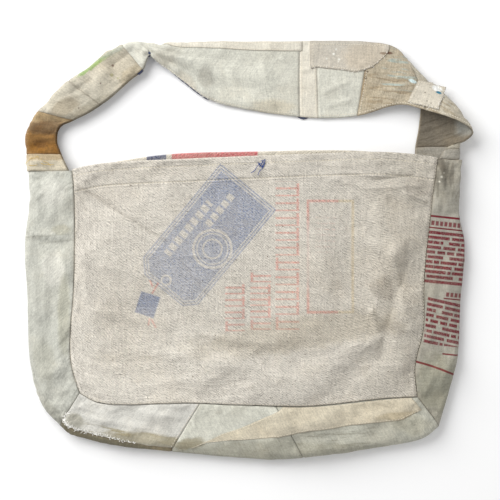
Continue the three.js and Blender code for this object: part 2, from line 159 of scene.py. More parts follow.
def panel(edges, height, hem_side):
    """A flat four-sided sheet; past t = 1 it turns over at the mouth and runs back as a hem."""
    bottom, top, left, right = (rail(edges[k]) for k in ("bottom", "top", "left", "right"))

    def flat(u, t):
        s, r = ((u + 1) / 2)[..., None], t[..., None]
        corners = (bottom(0 * u) * (1 - s) * (1 - r) + bottom(0 * u + 1) * s * (1 - r)
                   + top(0 * u) * (1 - s) * r + top(0 * u + 1) * s * r)
        point = (left(t) * (1 - s) + right(t) * s + bottom((u + 1) / 2) * (1 - r)
                 + top((u + 1) / 2) * r - corners)
        point[..., 2] = height
        return point

    def at(u, t):
        angle = np.minimum(math.pi, np.maximum(0, t - 1) * 2 * HALF_HEIGHT / HEM_TURN)
        point = flat(u, over(t))
        point[..., 1] += HEM_TURN * np.sin(angle)
        point[..., 2] += hem_side * HEM_TURN * (1 - np.cos(angle))
        return point

    return at


def folded(back_edge, crease, front_edge):
    """A strip folded along its middle: back edge at u = -1, crease at 0, front edge at 1."""

    def at(u, t):
        back, middle, front = back_edge(t), crease(t), front_edge(t)
        half_gap = (front - back) / 2
        inward = (front + back) / 2 - middle
        gap = np.linalg.norm(half_gap, axis=-1)
        openness = gap / np.maximum(np.linalg.norm(inward, axis=-1), 1e-6)
        spread = smooth((openness - 1) / 2)
        round_ = np.minimum(1, openness)
        arc = (math.pi / 2 * round_) / (math.pi / 2 * round_ + 1 - round_)
        v = np.abs(u)
        turn = math.pi / 2 * np.minimum(1, v / arc)
        leg = np.where(v > arc, (1 - round_) * (v - arc) / np.maximum(1 - arc, 1e-6), 0)
        reach = (round_ * (1 - np.cos(turn)) + leg) * (1 - spread) + u * u * spread
        across = np.sign(u) * np.sin(turn) * (1 - spread) + u * spread
        return middle + inward * reach[..., None] + half_gap * across[..., None]

    return at


def with_height(points, z):
    return [(p[0], p[1], z) for p in points]


def band_on(side):
    surface = folded(rail(with_height(BACK[side], UNDER_Z)), rail(with_height(CREASE[side], CREASE_Z)),
                     rail(with_height(FRONT[side], LOFT)))
    return surface if side == "left" else lambda u, t: surface(u, 1 - t)


front_surface = panel(FRONT, LOFT, -1)
back_surface = panel(BACK, PLY / 2, 1)
band = {side: band_on(side) for side in ("left", "bottom", "right")}
strap_surface = folded(*(rail([station[k] for station in STRAP]) for k in range(3)))

# ------------------------------------------------------------------ relief


def smooth(x):
    x = np.clip(x, 0, 1)
    return x * x * (3 - 2 * x)


NOISE_CELLS = 97


def noise(x, y, size, seed):
    """Smooth bumps between -1 and 1, about `size` mm across."""
    values = np.random.default_rng(seed).uniform(-1, 1, (NOISE_CELLS, NOISE_CELLS))
    gx, gy = x / size, y / size
    ix, iy = np.floor(gx).astype(int), np.floor(gy).astype(int)
    fx, fy = smooth(gx - ix), smooth(gy - iy)
    read = lambda i, j: values[i % NOISE_CELLS, j % NOISE_CELLS]
    low = read(ix, iy) * (1 - fx) + read(ix + 1, iy) * fx
    high = read(ix, iy + 1) * (1 - fx) + read(ix + 1, iy + 1) * fx
    return low * (1 - fy) + high * fy


# A fold's crest is rounded, its ends fade over a share of its length, and it wanders sideways.
CREST_ROUNDING, CREST_LEVEL = 0.15, 0.387
FOLD_FADE = 0.2
WANDER_SHARE, WANDER_SIZE = 0.8, 40


def folds(x, y, lines):
    """Raised or sunken folds: each line is x0, y0, x1, y1, width, height."""
    total = np.zeros(np.broadcast(x, y).shape)
    for x0, y0, x1, y1, width, height in lines:
        dx, dy = x1 - x0, y1 - y0
        length = math.hypot(dx, dy)
        s = ((x - x0) * dx + (y - y0) * dy) / length**2
        d = ((x - x0) * dy - (y - y0) * dx) / length
        d = d + width * WANDER_SHARE * noise(s * length, d * 0, WANDER_SIZE, 7)
        crest = np.exp(-np.sqrt((d / width) ** 2 + CREST_ROUNDING) + CREST_LEVEL)
        total += height * crest * smooth(s / FOLD_FADE) * smooth((1 - s) / FOLD_FADE)
    return total


# ------------------------------------------------------------------ sheets of cloth

FLOOR_CLEARANCE = 0.05


def limit(value, t):
    return value(t) if callable(value) else value + 0 * t


MEASURING_ROWS = 65


def lattice(surface, u, t, pitch):
    """Rows across and along a stretch of a surface, about `pitch` mm apart.

    t is the stretch's two ends, or every row along it."""
    share = np.linspace(0, 1, MEASURING_ROWS)
    ts = np.asarray(t, float) if len(t) > 2 else np.linspace(t[0], t[1], MEASURING_ROWS)
    spread = lambda share, ts: limit(u[0], ts) * (1 - share[:, None]) + limit(u[1], ts) * share[:, None]
    coarse = surface(spread(share, ts), ts + 0 * share[:, None])
    width = np.linalg.norm(np.diff(coarse, axis=0), axis=-1).sum(axis=0).max()
    length = np.linalg.norm(np.diff(coarse, axis=1), axis=-1).sum(axis=1).max()
    if len(t) == 2:
        ts = np.linspace(t[0], t[1], max(5, round(length / pitch) + 1))
    share = np.linspace(0, 1, max(5, round(width / pitch) + 1))
    return spread(share, ts), ts + 0 * share[:, None]


def normals(grid):
    n = np.cross(np.gradient(grid, axis=0), np.gradient(grid, axis=1))
    return n / np.maximum(np.linalg.norm(n, axis=-1, keepdims=True), 1e-9)


class Sheet:
    """A cut piece of cloth on a surface, between two offsets along its normal.

    Its limits across are numbers, or functions of t for a shaped piece. relief(s) gives the
    cloth's bumps in mm, where s holds the grid's x, y, z, u, t and the distances in mm to its
    edges: u0, u1, t0, t1. They are raised along the normal, or along +Z on a panel, so that the
    hem under it follows. The surface keeps `room` mm off the floor for the cloth below it."""

    def __init__(self, name, surface, u, t, low, high, relief, upright=False, pitch=2.2, room=PLY / 2):
        U, T = lattice(surface, u, t, pitch)
        base = surface(U, T)
        step_u = np.linalg.norm(np.diff(base, axis=0), axis=-1)
        step_t = np.linalg.norm(np.diff(base, axis=1), axis=-1)
        run_u = np.vstack([np.zeros((1, U.shape[1])), np.cumsum(step_u, axis=0)])
        run_t = np.hstack([np.zeros((U.shape[0], 1)), np.cumsum(step_t, axis=1)])
        self.s = {"x": base[..., 0], "y": base[..., 1], "z": base[..., 2], "u": U, "t": T,
                  "u0": run_u, "u1": run_u[-1:] - run_u, "t0": run_t, "t1": run_t[:, -1:] - run_t}
        out = np.array([0, 0, 1.0]) if upright else normals(base)
        # Cloth that faces the floor rests on it, so it is flatter.
        resting = 0.2 + 0.8 * smooth((out[..., 2:] + 0.7) / 0.7)
        base = base + relief(self.s)[..., None] * out * resting
        base[..., 2] = np.maximum(base[..., 2], FLOOR_CLEARANCE + room * np.abs(normals(base)[..., 2]))
        normal = normals(base)
        edge = np.minimum.reduce([self.s[k] for k in ("u0", "u1", "t0", "t1")])
        half = (high - low) / 2
        shrink = np.sqrt(1 - (1 - np.minimum(1, edge / (1.2 * half))) ** 2) * 0.75 + 0.25
        middle = base + normal * (high + low) / 2
        self.top = middle + normal * (half * shrink)[..., None]
        self.bottom = middle - normal * (half * shrink)[..., None]
        for face in (self.top, self.bottom):
            face[..., 2] = np.maximum(face[..., 2], FLOOR_CLEARANCE)
        self.normal, self.name = normal, name
        self.object = self.build(edge, run_u, run_t)

    def build(self, edge, run_u, run_t):
        nu, nt = edge.shape
        index = np.arange(nu * nt).reshape(nu, nt)
        top = grid_faces(nu, nt)
        under = top[:, ::-1] + nu * nt
        ring = np.concatenate([index[:, 0], index[-1, 1:], index[-2::-1, -1], index[0, -2:0:-1]])
        after = np.roll(ring, -1)
        rim = np.stack([ring, ring + nu * nt, after + nu * nt, after], axis=-1)
        points = np.concatenate([self.top.reshape(-1, 3), self.bottom.reshape(-1, 3)])
        mesh = new_mesh(self.name, points, np.concatenate([top, under, rim]))
        uv = np.stack([run_u, run_t], axis=-1).reshape(-1, 2)
        set_uv(mesh, np.concatenate([uv, uv]))
        distance = mesh.attributes.new("edge_mm", "FLOAT", "POINT")
        distance.data.foreach_set("value", np.tile(edge.ravel(), 2).astype(np.float32))
        return new_object(self.name, mesh)

    def on(self, u, t):
        """Points and normals on the outer face, at shares from 0 to 1 across and along the grid."""
        nu, nt = self.top.shape[:2]
        gu, gt = np.clip(u, 0, 1) * (nu - 1), np.clip(t, 0, 1) * (nt - 1)
        i, j = np.minimum(gu.astype(int), nu - 2), np.minimum(gt.astype(int), nt - 2)
        a, b = (gu - i)[:, None], (gt - j)[:, None]
        read = lambda g: ((g[i, j] * (1 - a) + g[i + 1, j] * a) * (1 - b)
                          + (g[i, j + 1] * (1 - a) + g[i + 1, j + 1] * a) * b)
        return read(self.top), read(self.normal)


def new_mesh(name, points, faces):
    mesh = bpy.data.meshes.new(name)
    mesh.from_pydata((np.asarray(points) * MM).tolist(), [], np.asarray(faces).tolist())
    mesh.shade_smooth()
    rest = mesh.attributes.new("rest_mm", "FLOAT_VECTOR", "POINT")
    rest.data.foreach_set("vector", np.asarray(points, np.float32).ravel())
    return mesh


def set_uv(mesh, uv):
    loops = np.zeros(len(mesh.loops), np.int32)
    mesh.loops.foreach_get("vertex_index", loops)
    layer = mesh.uv_layers.new(name="cloth_mm")
    layer.data.foreach_set("uv", uv[loops].astype(np.float32).ravel())


def new_object(name, data):
    obj = bpy.data.objects.new(name, data)
    bpy.context.scene.collection.objects.link(obj)
    return obj


# ------------------------------------------------------------------ cloth simulation

SIM_FRAMES = 20
START_ROUGHNESS = 0.35


def grid_faces(rows, columns):
    index = np.arange(rows * columns).reshape(rows, columns)
    return np.stack([index[:-1, :-1], index[1:, :-1], index[1:, 1:], index[:-1, 1:]], axis=-1).reshape(-1, 4)


def buckled(surface, u, t, pitch, growth, cap, bend=0.5, seed=1):
    """Wrinkles for a surface, by simulating one sheet of cloth a little too big for its seams.

    The sheet is held along its four seams while it grows, so it buckles as sewn cloth does.
    What comes back reads how far it moved, in mm along the normal and at most `cap`, at any u, t."""
    U, T = lattice(surface, u, t, pitch)
    base = surface(U, T)
    out = normals(base)
    start = base + out * np.random.default_rng(seed).normal(0, START_ROUGHNESS, U.shape)[..., None]
    rows, columns = U.shape
    mesh = bpy.data.meshes.new("simulated")
    mesh.from_pydata((start.reshape(-1, 3) * MM).tolist(), [], grid_faces(rows, columns).tolist())
    obj = new_object("simulated", mesh)
    index = np.arange(rows * columns).reshape(rows, columns)
    seams = np.concatenate([index[0], index[-1], index[:, 0], index[:, -1]])
    obj.vertex_groups.new(name="seams").add(seams.tolist(), 1.0, "REPLACE")
    cloth_sim = obj.modifiers.new("cloth", "CLOTH")
    settings = cloth_sim.settings
    settings.vertex_group_mass = "seams"
    settings.mass, settings.quality = 0.1, 5
    settings.tension_stiffness = settings.compression_stiffness = 20
    settings.shear_stiffness, settings.bending_stiffness = 8, bend
    settings.shrink_min = -growth
    settings.effector_weights.gravity = 0
    cloth_sim.collision_settings.use_collision = False
    for frame_number in range(1, SIM_FRAMES + 1):
        bpy.context.scene.frame_set(frame_number)
    settled = np.zeros(rows * columns * 3)
    evaluated = obj.evaluated_get(bpy.context.evaluated_depsgraph_get())
    evaluated.data.vertices.foreach_get("co", settled)
    bpy.data.objects.remove(obj)
    bpy.context.scene.frame_set(1)
    moved = ((settled.reshape(base.shape) / MM - base) * out).sum(axis=-1)
    moved = cap * np.tanh(moved / cap)

    def read(at_u, at_t):
        gu = np.clip((at_u - u[0]) / (u[1] - u[0]), 0, 1) * (rows - 1)
        gt = np.clip((at_t - t[0]) / (t[1] - t[0]), 0, 1) * (columns - 1)
        i, j = np.floor(gu).astype(int), np.floor(gt).astype(int)
        total = 0
        for a, wa in enumerate(spline_weights(gu - i)):
            for b, wb in enumerate(spline_weights(gt - j)):
                row = np.clip(i + a - 1, 0, rows - 1)
                column = np.clip(j + b - 1, 0, columns - 1)
                total = total + wa * wb * moved[row, column]
        return total

    return read


def spline_weights(f):
    """How much each of four neighbouring values counts, at a share f between the middle two."""
    return (1 - f) ** 3 / 6, (3 * f**3 - 6 * f**2 + 4) / 6, (1 + 3 * f + 3 * f**2 - 3 * f**3) / 6, f**3 / 6


# ------------------------------------------------------------------ thread


def along(points, values, step):
    """Evenly spaced points along a path, and the values there."""
    run = np.concatenate([[0], np.cumsum(np.linalg.norm(np.diff(points, axis=0), axis=1))])
    where = np.arange(step / 2, run[-1], step)
    read = lambda table: np.stack([np.interp(where, run, table[:, k]) for k in range(3)], axis=1)
    return read(points), read(values)


BEAD_RINGS, BEAD_SIDES = 5, 6
BEAD_TAPER = 0.6


def bead():
    """A closed grain, one unit long and two across."""
    points, faces = [(-0.5, 0, 0)], []
    for i in range(1, BEAD_RINGS):
        a = math.pi * i / BEAD_RINGS
        for j in range(BEAD_SIDES):
            b = 2 * math.pi * j / BEAD_SIDES
            ring = math.sin(a) ** BEAD_TAPER
            points.append((-0.5 * math.cos(a), ring * math.cos(b), ring * math.sin(b)))
    points.append((0.5, 0, 0))
    at = lambda i, j: 1 + (i - 1) * BEAD_SIDES + j % BEAD_SIDES
    for j in range(BEAD_SIDES):
        faces.append((0, at(1, j + 1), at(1, j)))
        faces.append((len(points) - 1, at(BEAD_RINGS - 1, j), at(BEAD_RINGS - 1, j + 1)))
        for i in range(1, BEAD_RINGS - 1):
            faces += [(at(i, j), at(i, j + 1), at(i + 1, j + 1)), (at(i, j), at(i + 1, j + 1), at(i + 1, j))]
    return np.array(points), np.array(faces)


def stitches(name, rows, length=2.7, pitch=3.9, radius=0.42, seed=1):
    """A row of stitches lying on the cloth along each (points, normals) path."""
    rng = np.random.default_rng(seed)
    grain, triangles = bead()
    points, faces, count = [], [], 0
    for path, normal in rows:
        centre, up = along(path, normal, pitch)
        ahead = np.gradient(centre, axis=0)
        for c, n, a in zip(centre, up, ahead):
            a = a / np.linalg.norm(a) + rng.normal(0, 0.06, 3)
            n = n - a * n.dot(a) / a.dot(a)
            n, a = n / max(np.linalg.norm(n), 1e-6), a / np.linalg.norm(a)
            side = np.cross(n, a)
            scale = (length * rng.uniform(0.85, 1.1), radius, radius * 0.8)
            points.append(c + n * radius * 0.35 + (grain * scale) @ np.array([a, side, n]))
            faces.append(triangles + count * len(grain))
            count += 1
    return new_object(name, new_mesh(name, np.concatenate(points), np.concatenate(faces)))


TUBE_TILT = (0.13, 0.21, 0.97)


def tubes(name, paths, radius, sides=6):
    """Lengths of thread through each path, closed at both ends."""
    points, faces, start = [], [], 0
    for path in paths:
        path = np.asarray(path, float)
        curve = rail(path)(np.linspace(0, 1, 8 * len(path)))
        ahead = np.gradient(curve, axis=0)
        ahead /= np.maximum(np.linalg.norm(ahead, axis=1, keepdims=True), 1e-9)
        side = np.cross(ahead, TUBE_TILT)
        side /= np.linalg.norm(side, axis=1, keepdims=True)
        up = np.cross(side, ahead)
        angle = 2 * np.pi * np.arange(sides) / sides
        ring = side[:, None] * np.cos(angle)[:, None] + up[:, None] * np.sin(angle)[:, None]
        points += [(curve[:, None] + radius * ring).reshape(-1, 3), curve[:1], curve[-1:]]
        n = len(curve)
        at = lambda i, j: start + i * sides + j % sides
        for j in range(sides):
            faces += [(at(i, j), at(i, j + 1), at(i + 1, j + 1)) for i in range(n - 1)]
            faces += [(at(i, j), at(i + 1, j + 1), at(i + 1, j)) for i in range(n - 1)]
            faces.append((start + n * sides, at(0, j + 1), at(0, j)))
            faces.append((start + n * sides + 1, at(n - 1, j), at(n - 1, j + 1)))
        start += n * sides + 2
    return new_object(name, new_mesh(name, np.concatenate(points), faces))


# ------------------------------------------------------------------ shader arithmetic


def feed(tree, value, slot):
    """Gives a node's input a number, or links a Value to it."""
    if isinstance(value, Value):
        tree.links.new(value.socket, slot)
    else:
        slot.default_value = value


def arithmetic(operation):
    """A method of Value that adds one Math node."""
    return lambda self, *others: self.math(operation, *others)


class Value:
    """A number in a material's node tree, so that a pattern is written as arithmetic."""

    def __init__(self, tree, socket):
        self.tree, self.socket = tree, socket

    def math(self, operation, *others):
        node = self.tree.nodes.new("ShaderNodeMath")
        node.operation = operation
        for slot, value in zip(node.inputs, (self, *others)):
            feed(self.tree, value, slot)
        return Value(self.tree, node.outputs[0])

    __add__ = __radd__ = arithmetic("ADD")
    __sub__ = arithmetic("SUBTRACT")
    __mul__ = __rmul__ = arithmetic("MULTIPLY")
    __truediv__ = arithmetic("DIVIDE")
    abs = arithmetic("ABSOLUTE")
    sin = arithmetic("SINE")
    fract = arithmetic("FRACT")
    floor = arithmetic("FLOOR")
    least = arithmetic("MINIMUM")
    most = arithmetic("MAXIMUM")
    sqrt = arithmetic("SQRT")

    def __neg__(self):
        return self * -1

    def __rsub__(self, other):
        return -self + other

    def ramp(self, low, high):
        """0 at `low`, 1 at `high`, smooth in between, whichever of the two is the larger."""
        node = self.tree.nodes.new("ShaderNodeMapRange")
        node.interpolation_type = "SMOOTHSTEP"
        self.tree.links.new(self.socket, node.inputs["Value"])
        ends = {"From Min": min(low, high), "From Max": max(low, high), "To Min": float(low > high),
                "To Max": float(low <= high)}
        for name, value in ends.items():
            node.inputs[name].default_value = value
        return Value(self.tree, node.outputs["Result"])


class Pattern:
    """One material being drawn: its coordinates in mm, its colour so far and its bump height."""

    def __init__(self, name, colour):
        self.material = bpy.data.materials.new(name)
        self.material.use_nodes = True
        self.tree = self.material.node_tree
        self.shader = self.tree.nodes["Principled BSDF"]
        self.x, self.y, self.z = self.split(self.attribute("rest_mm", "Vector"))
        uv = self.tree.nodes.new("ShaderNodeUVMap")
        uv.uv_map = "cloth_mm"
        self.u, self.v, _ = self.split(uv.outputs["UV"])
        self.edge = Value(self.tree, self.attribute("edge_mm", "Fac"))
        rgb = self.tree.nodes.new("ShaderNodeRGB")
        rgb.outputs[0].default_value = (*linear(colour), 1)
        self.colour = rgb.outputs[0]

    def attribute(self, name, output):
        node = self.tree.nodes.new("ShaderNodeAttribute")
        node.attribute_name = name
        return node.outputs[output]

    def split(self, socket):
        node = self.tree.nodes.new("ShaderNodeSeparateXYZ")
        self.tree.links.new(socket, node.inputs[0])
        return [Value(self.tree, s) for s in node.outputs]

    def join(self, *values):
        node = self.tree.nodes.new("ShaderNodeCombineXYZ")
        for slot, value in zip(node.inputs, values):
            feed(self.tree, value, slot)
        return node.outputs[0]

    def noise(self, x, y, z=0.0, detail=2.0, rough=0.5):
        node = self.tree.nodes.new("ShaderNodeTexNoise")
        node.inputs["Scale"].default_value = 1
        node.inputs["Detail"].default_value = detail
        node.inputs["Roughness"].default_value = rough
        self.tree.links.new(self.join(x, y, z), node.inputs["Vector"])
        return Value(self.tree, node.outputs["Fac"])

    def tint(self, colour, amount):
        """Mixes a colour in, by a share from 0 to 1."""
        node = self.tree.nodes.new("ShaderNodeMix")
        node.data_type, node.blend_type = "RGBA", "MIX"
        feed(self.tree, amount, node.inputs["Factor"])
        self.tree.links.new(self.colour, node.inputs["A"])
        node.inputs["B"].default_value = (*linear(colour), 1)
        self.colour = node.outputs["Result"]

    def brightness(self, amount):
        """Multiplies the colour by a value."""
        node = self.tree.nodes.new("ShaderNodeVectorMath")
        node.operation = "SCALE"
        self.tree.links.new(self.colour, node.inputs[0])
        self.tree.links.new(amount.socket, node.inputs["Scale"])
        self.colour = node.outputs[0]

    def finish(self, height, depth, roughness=0.92):
        """Sets the shader: the bump stands `depth` mm high where the height is 1."""
        links = self.tree.links
        bump = self.tree.nodes.new("ShaderNodeBump")
        bump.inputs["Strength"].default_value = 1
        bump.inputs["Distance"].default_value = depth * MM
        links.new(height.socket, bump.inputs["Height"])
        links.new(bump.outputs[0], self.shader.inputs["Normal"])
        links.new(self.colour, self.shader.inputs["Base Color"])
        surface = {"Roughness": roughness, "Specular IOR Level": 0.2, "Sheen Weight": 0.12,
                   "Sheen Roughness": 0.6}
        for name, value in surface.items():
            self.shader.inputs[name].default_value = value
        return self.material


def linear(colour):
    """A colour given as 0 to 255 on a screen, as the shares of light that a shader takes."""
    return [c / 255 / 12.92 if c <= 10 else ((c / 255 + 0.055) / 1.055) ** 2.4 for c in colour]


def turned(x, y, cx, cy, degrees):
    """x and y about a centre, turned so that the shape's own axes lie along them."""
    c, s = math.cos(math.radians(degrees)), math.sin(math.radians(degrees))
    dx, dy = x - cx, y - cy
    return dx * c + dy * s, dy * c - dx * s


def block(x, y, cx, cy, width, height, degrees=0):
    """How far a point is outside a turned rectangle, in mm."""
    a, b = turned(x, y, cx, cy, degrees)
    return (a.abs() - width / 2).most(b.abs() - height / 2)


TWILL_RIB = 2.8
WARM, GRIME_AND_SEAM_SHADE, HUSK = (178, 158, 124), (104, 88, 66), (92, 74, 54)


def weave(p, pitch, slub, twill, seed):
    """Crossing threads with thick and thin places: a height, and a light and dark value near zero."""
    u = p.u + p.noise(p.u * 0.06, p.v * 0.012, seed) * 2.4 * pitch
    v = p.v + p.noise(p.u * 0.012, p.v * 0.06, seed + 3.1) * 2.4 * pitch
    cross = (u * (math.pi / pitch)).sin() * (v * (math.pi / pitch)).sin()
    long_u = p.noise(p.u * (0.5 / pitch), p.v * 0.05, seed + 5.7, 3, 0.6)
    long_v = p.noise(p.u * 0.05, p.v * (0.5 / pitch), seed + 9.2, 3, 0.6)
    thick = long_u.ramp(0.5, 0.78) + long_v.ramp(0.5, 0.78)
    fibre = p.noise(p.u * 0.5, p.v * 0.5, seed + 2.2, 4, 0.75)
    shade = (long_u - 0.5) * 0.55 + (long_v - 0.5) * 0.75 + (fibre - 0.5) * 1.7 + cross * 0.05
    height = cross * 0.25 + thick * slub + fibre * 0.7
    if twill:
        wander = p.noise(p.u * 0.05, p.v * 0.05, seed + 4.4, 2, 0.5) * 9
        rib = ((v * 0.83 + u * 0.56 + wander) * (2 * math.pi / TWILL_RIB)).sin()
        broken = p.noise(p.u * 0.36, p.v * 0.36, seed + 6.6, 2, 0.6).ramp(0.4, 0.64)
        shade = shade + rib * broken * twill
        height = height + rib * broken * 0.5
    return height, shade


def cloth(name, colour, seed, draw=None, pitch=1.1, slub=0.5, twill=0.0, contrast=0.62, depth=0.45,
          soil=0.35, specks=0.4, blotch=0.2, edge=1.0):
    """Worn cotton: woven, mottled, creased, soiled in places, darkened along its edges with grime and painted
    seam shade, with husk specks.
    """
    p = Pattern(name, colour)
    height, shade = weave(p, pitch, slub, twill, seed)
    if draw:
        draw(p)
    broad = p.noise(p.x * 0.012, p.y * 0.012, seed + 1.5, 3, 0.55)
    patchy = p.noise(p.x * 0.05, p.y * 0.05, seed + 4.5, 4, 0.6)
    bands = p.noise(p.u * 0.006, p.v * 0.11, seed + 7.7, 2, 0.6)
    p.tint(WARM, (broad.ramp(0.42, 0.75) * 0.6 + patchy.ramp(0.5, 0.8) * 0.5) * soil)
    # Darker along every edge: grime, and painted shade where the cloth dips into its seams.
    p.tint(GRIME_AND_SEAM_SHADE, (p.edge.ramp(4, 0) * 0.14 + p.edge.ramp(1.3, 0) * 0.26) * edge)
    mottle = p.noise(p.x * 0.17, p.y * 0.17, seed + 3.3, 3, 0.6)
    uneven = shade * contrast + (patchy - 0.5) * blotch
    p.brightness(uneven + (mottle - 0.5) * 0.3 + (bands - 0.5) * 0.2 + 1.0)
    speck = p.noise(p.x * 0.42, p.y * 0.42, seed + 8.8, 1, 0.4).ramp(0.755, 0.79)
    p.tint(HUSK, speck * specks)
    return p.finish(height, depth)


# ------------------------------------------------------------------ prints, marks and painted shade

FADED_BLUE, FADED_RED, CRIMSON = (62, 98, 150), (208, 104, 86), (108, 4, 30)


def worn(p, size=2.2, cover=0.5, seed=20.0):
    """Ink left on the raised threads: mostly there, broken up by wear and by the weave."""
    fine = p.noise(p.u / size, p.v / size, seed, 3, 0.7).ramp(0.75 - cover * 0.65, 1.05 - cover * 0.65)
    patches = p.noise(p.x * 0.035, p.y * 0.035, seed + 1, 3, 0.6).ramp(0.3, 0.62)
    return fine * (patches * 0.5 + 0.5)


def soft(distance, blur=0.9):
    return distance.ramp(blur, -blur)


def union(p, shapes):
    """The distance outside the nearest of some rectangles: cx, cy, width, height, degrees."""
    total = block(p.x, p.y, *shapes[0])
    for shape in shapes[1:]:
        total = total.least(block(p.x, p.y, *shape))
    return total


def every(value, pitch):
    """The distance to the nearest of evenly spaced lines, the first of them at zero."""
    return ((value / pitch + 0.5).fract() - 0.5).abs() * pitch


def stencil_column(p, x, y0, y1, width, pitch):
    """A column of plain rungs with a spine on alternate sides, like worn stencilled blocks."""
    inside = block(p.x, p.y, x, (y0 + y1) / 2, width, y1 - y0)
    cell = ((p.y - y0) / pitch).floor()
    side = ((cell * 12.99).sin() * 437.5).fract() - 0.5
    spine = ((p.x - x) - (side / side.abs()) * (width / 2 - 2)).abs() - 1.6
    rung = every(p.y - y0 - 1.9, pitch / 2) - 1.25
    return inside.most(rung.least(spine)).most(1.3 - every(p.y - y0, pitch))


def front_print_and_shade(p):
    ink = worn(p)
    # A tilted blue tag with two cut corners, a double border, an eyelet, a round emblem and two
    # rows of plain blocks left bare.
    a, b = turned(p.x, p.y, -54, 56, 50.5)
    label = ((a + 2).abs() - 85).most((b - 1).abs() - 46).most((b.abs() - a - 118) * 0.7)
    from_emblem = ((a + 7) * (a + 7) + (b + 14) * (b + 14)).sqrt()
    from_eyelet = ((a + 75) * (a + 75) + (b - 6) * (b - 6)).sqrt()
    bare = ((label + 2.6).abs() - 0.9).least((label + 6.0).abs() - 0.8)
    bare = bare.least((from_emblem - 24).abs() - 1.7).least((from_emblem - 19.5).abs() - 0.8)
    bare = bare.least((from_emblem - 12).abs() - 1.2).least((from_eyelet - 6).abs() - 1.3)
    gaps = 1.5 - every(a, 10.5)
    bare = bare.least(((a + 6).abs() - 43).most((b - 26).abs() - 5.2).most(gaps))
    bare = bare.least(((a - 36).abs() - 27).most((b - 10).abs() - 4.6).most(gaps))
    fading = a.ramp(-60, 80) * 0.3 + 0.95
    p.tint(FADED_BLUE, soft(label) * (1 - soft(bare, 0.7) * 0.85) * (ink * 0.4 + 0.3) * fading)
    p.tint(FADED_BLUE, soft(block(p.x, p.y, -130, -29, 25, 28, -18)) * (ink * 0.4 + 0.5))
    strings = union(p, [(-120, -8, 2.4, 16, -30), (-125, -2, 2.2, 9, 24), (-122, -53, 2.4, 12, 28),
                        (-128, -51, 2.2, 9, -8)])
    p.tint(FADED_RED, soft(strings) * (ink * 0.4 + 0.35))
    # Three columns of faded red blocks, and an open frame that fades to yellow.
    columns = stencil_column(p, -19, -64, -1, 25, 15.6).least(stencil_column(p, 13.5, -62, 14, 26, 15))
    columns = columns.least(stencil_column(p, 47.5, -62, 127, 30, 18.8))
    p.tint(FADED_RED, soft(columns) * (ink * 0.5 + 0.32))
    frame = block(p.x, p.y, 102, 32, 57, 141).abs() - 1.7
    faint = p.y.ramp(52, 90) * 0.6 + p.y.ramp(8, -30) * 0.65 + 0.15
    p.tint(FADED_RED, soft(frame.most(p.x - 112)) * (ink * 0.5 + 0.45) * faint)
    p.tint((198, 172, 112), soft(frame.most(112 - p.x)) * (ink * 0.3 + 0.3))
    lines = every(p.y, 7.4) - 1.0
    p.tint(FADED_RED, soft(block(p.x, p.y, 96, 62, 26, 50).most(lines)) * ink * 0.3)
    # The panel is painted darker to the right and in three patches there, as painted shade, and paler at its
    # lower left, as painted light, with painted shade along two creases across it.
    p.tint((168, 160, 144), p.x.ramp(70, 215) * 0.38)
    # The next three blotches are painted shade beside folds on the panel's right.
    stain_and_shade(p, 168, -8, 16, 18, (148, 140, 128), 0.5, seed=70)
    stain_and_shade(p, 180, -58, 18, 14, (148, 140, 128), 0.42, seed=71)
    stain_and_shade(p, 212, 120, 22, 15, (156, 148, 136), 0.45, seed=72)
    stain_and_shade(p, 200, -108, 8, 30, (156, 148, 136), 0.35, seed=73)
    stain_and_shade(p, 60, -66, 150, 24, (176, 164, 140), 0.35, 8, seed=74)
    # Painted light: paler towards the lower left.
    p.tint((228, 222, 210), p.y.ramp(20, -140) * p.x.ramp(60, -170) * 0.45)
    # Painted shade: dark lines along two creases across the panel.
    p.tint((120, 110, 96), soft(block(p.x, p.y, -163, 87, 136, 1.5, -32), 3.5) * 0.3)
    p.tint((120, 110, 96), soft(block(p.x, p.y, -70, 4, 60, 1.5, -52), 3.5) * 0.25)


def ruled_print(p):
    """Crimson rules and rows of dashes, like a printed sheet of notes with no words."""
    ink = worn(p, 1.6, 0.8, 31.0) * 0.25 + 0.75
    a, b = turned(p.x, p.y, 246, 20, -6)
    strokes = p.noise(a * 0.75, b * 0.55, 7.0, 1).ramp(0.38, 0.48) * 0.35 + 0.65

    def rows(top, bottom, pitch, lean, left):
        line = b - (a * lean) - top
        index = (line / pitch + 0.5).floor()
        words = p.noise((a + index * 37.0) * 0.16, index * 3.7, 2.0, 0.0).ramp(0.33, 0.37)
        inside = (line - pitch / 2).most(bottom - b).most(left - a)
        return soft(inside.most(every(line, pitch) - 2.0), 0.6) * words

    text = rows(41, -24, 6.2, 0.0, -40).most(rows(-45, -101, 6.7, -0.12, -16))
    p.tint(CRIMSON, text * strokes * ink)
    heads = (a - 60).most(-24 - a).most((b - 53).abs() - 2.9)
    heads = heads.least((a - 60).most(5 - a).most((b + 35.5).abs() - 2.7)).most(0.8 - every(a, 5.6))
    p.tint(CRIMSON, soft(heads, 0.7) * ink * 0.9)
    rules = ((b - 61.6).abs() - 1.3).least((b - 47).abs() - 0.9)
    rules = rules.least(((b + 40.8).abs() - 0.8).most(4 - a)).least(((b + 111).abs() - 0.9).most(10 - a))
    arc = ((p.x - 137) * (p.x - 137) + (p.y + 392) * (p.y + 392)).sqrt() - 300
    rules = rules.least((arc.abs() - 1.3).most(p.x - 275).most(205 - p.x))
    p.tint(CRIMSON, soft(rules, 0.5) * (ink * 0.5 + 0.5))


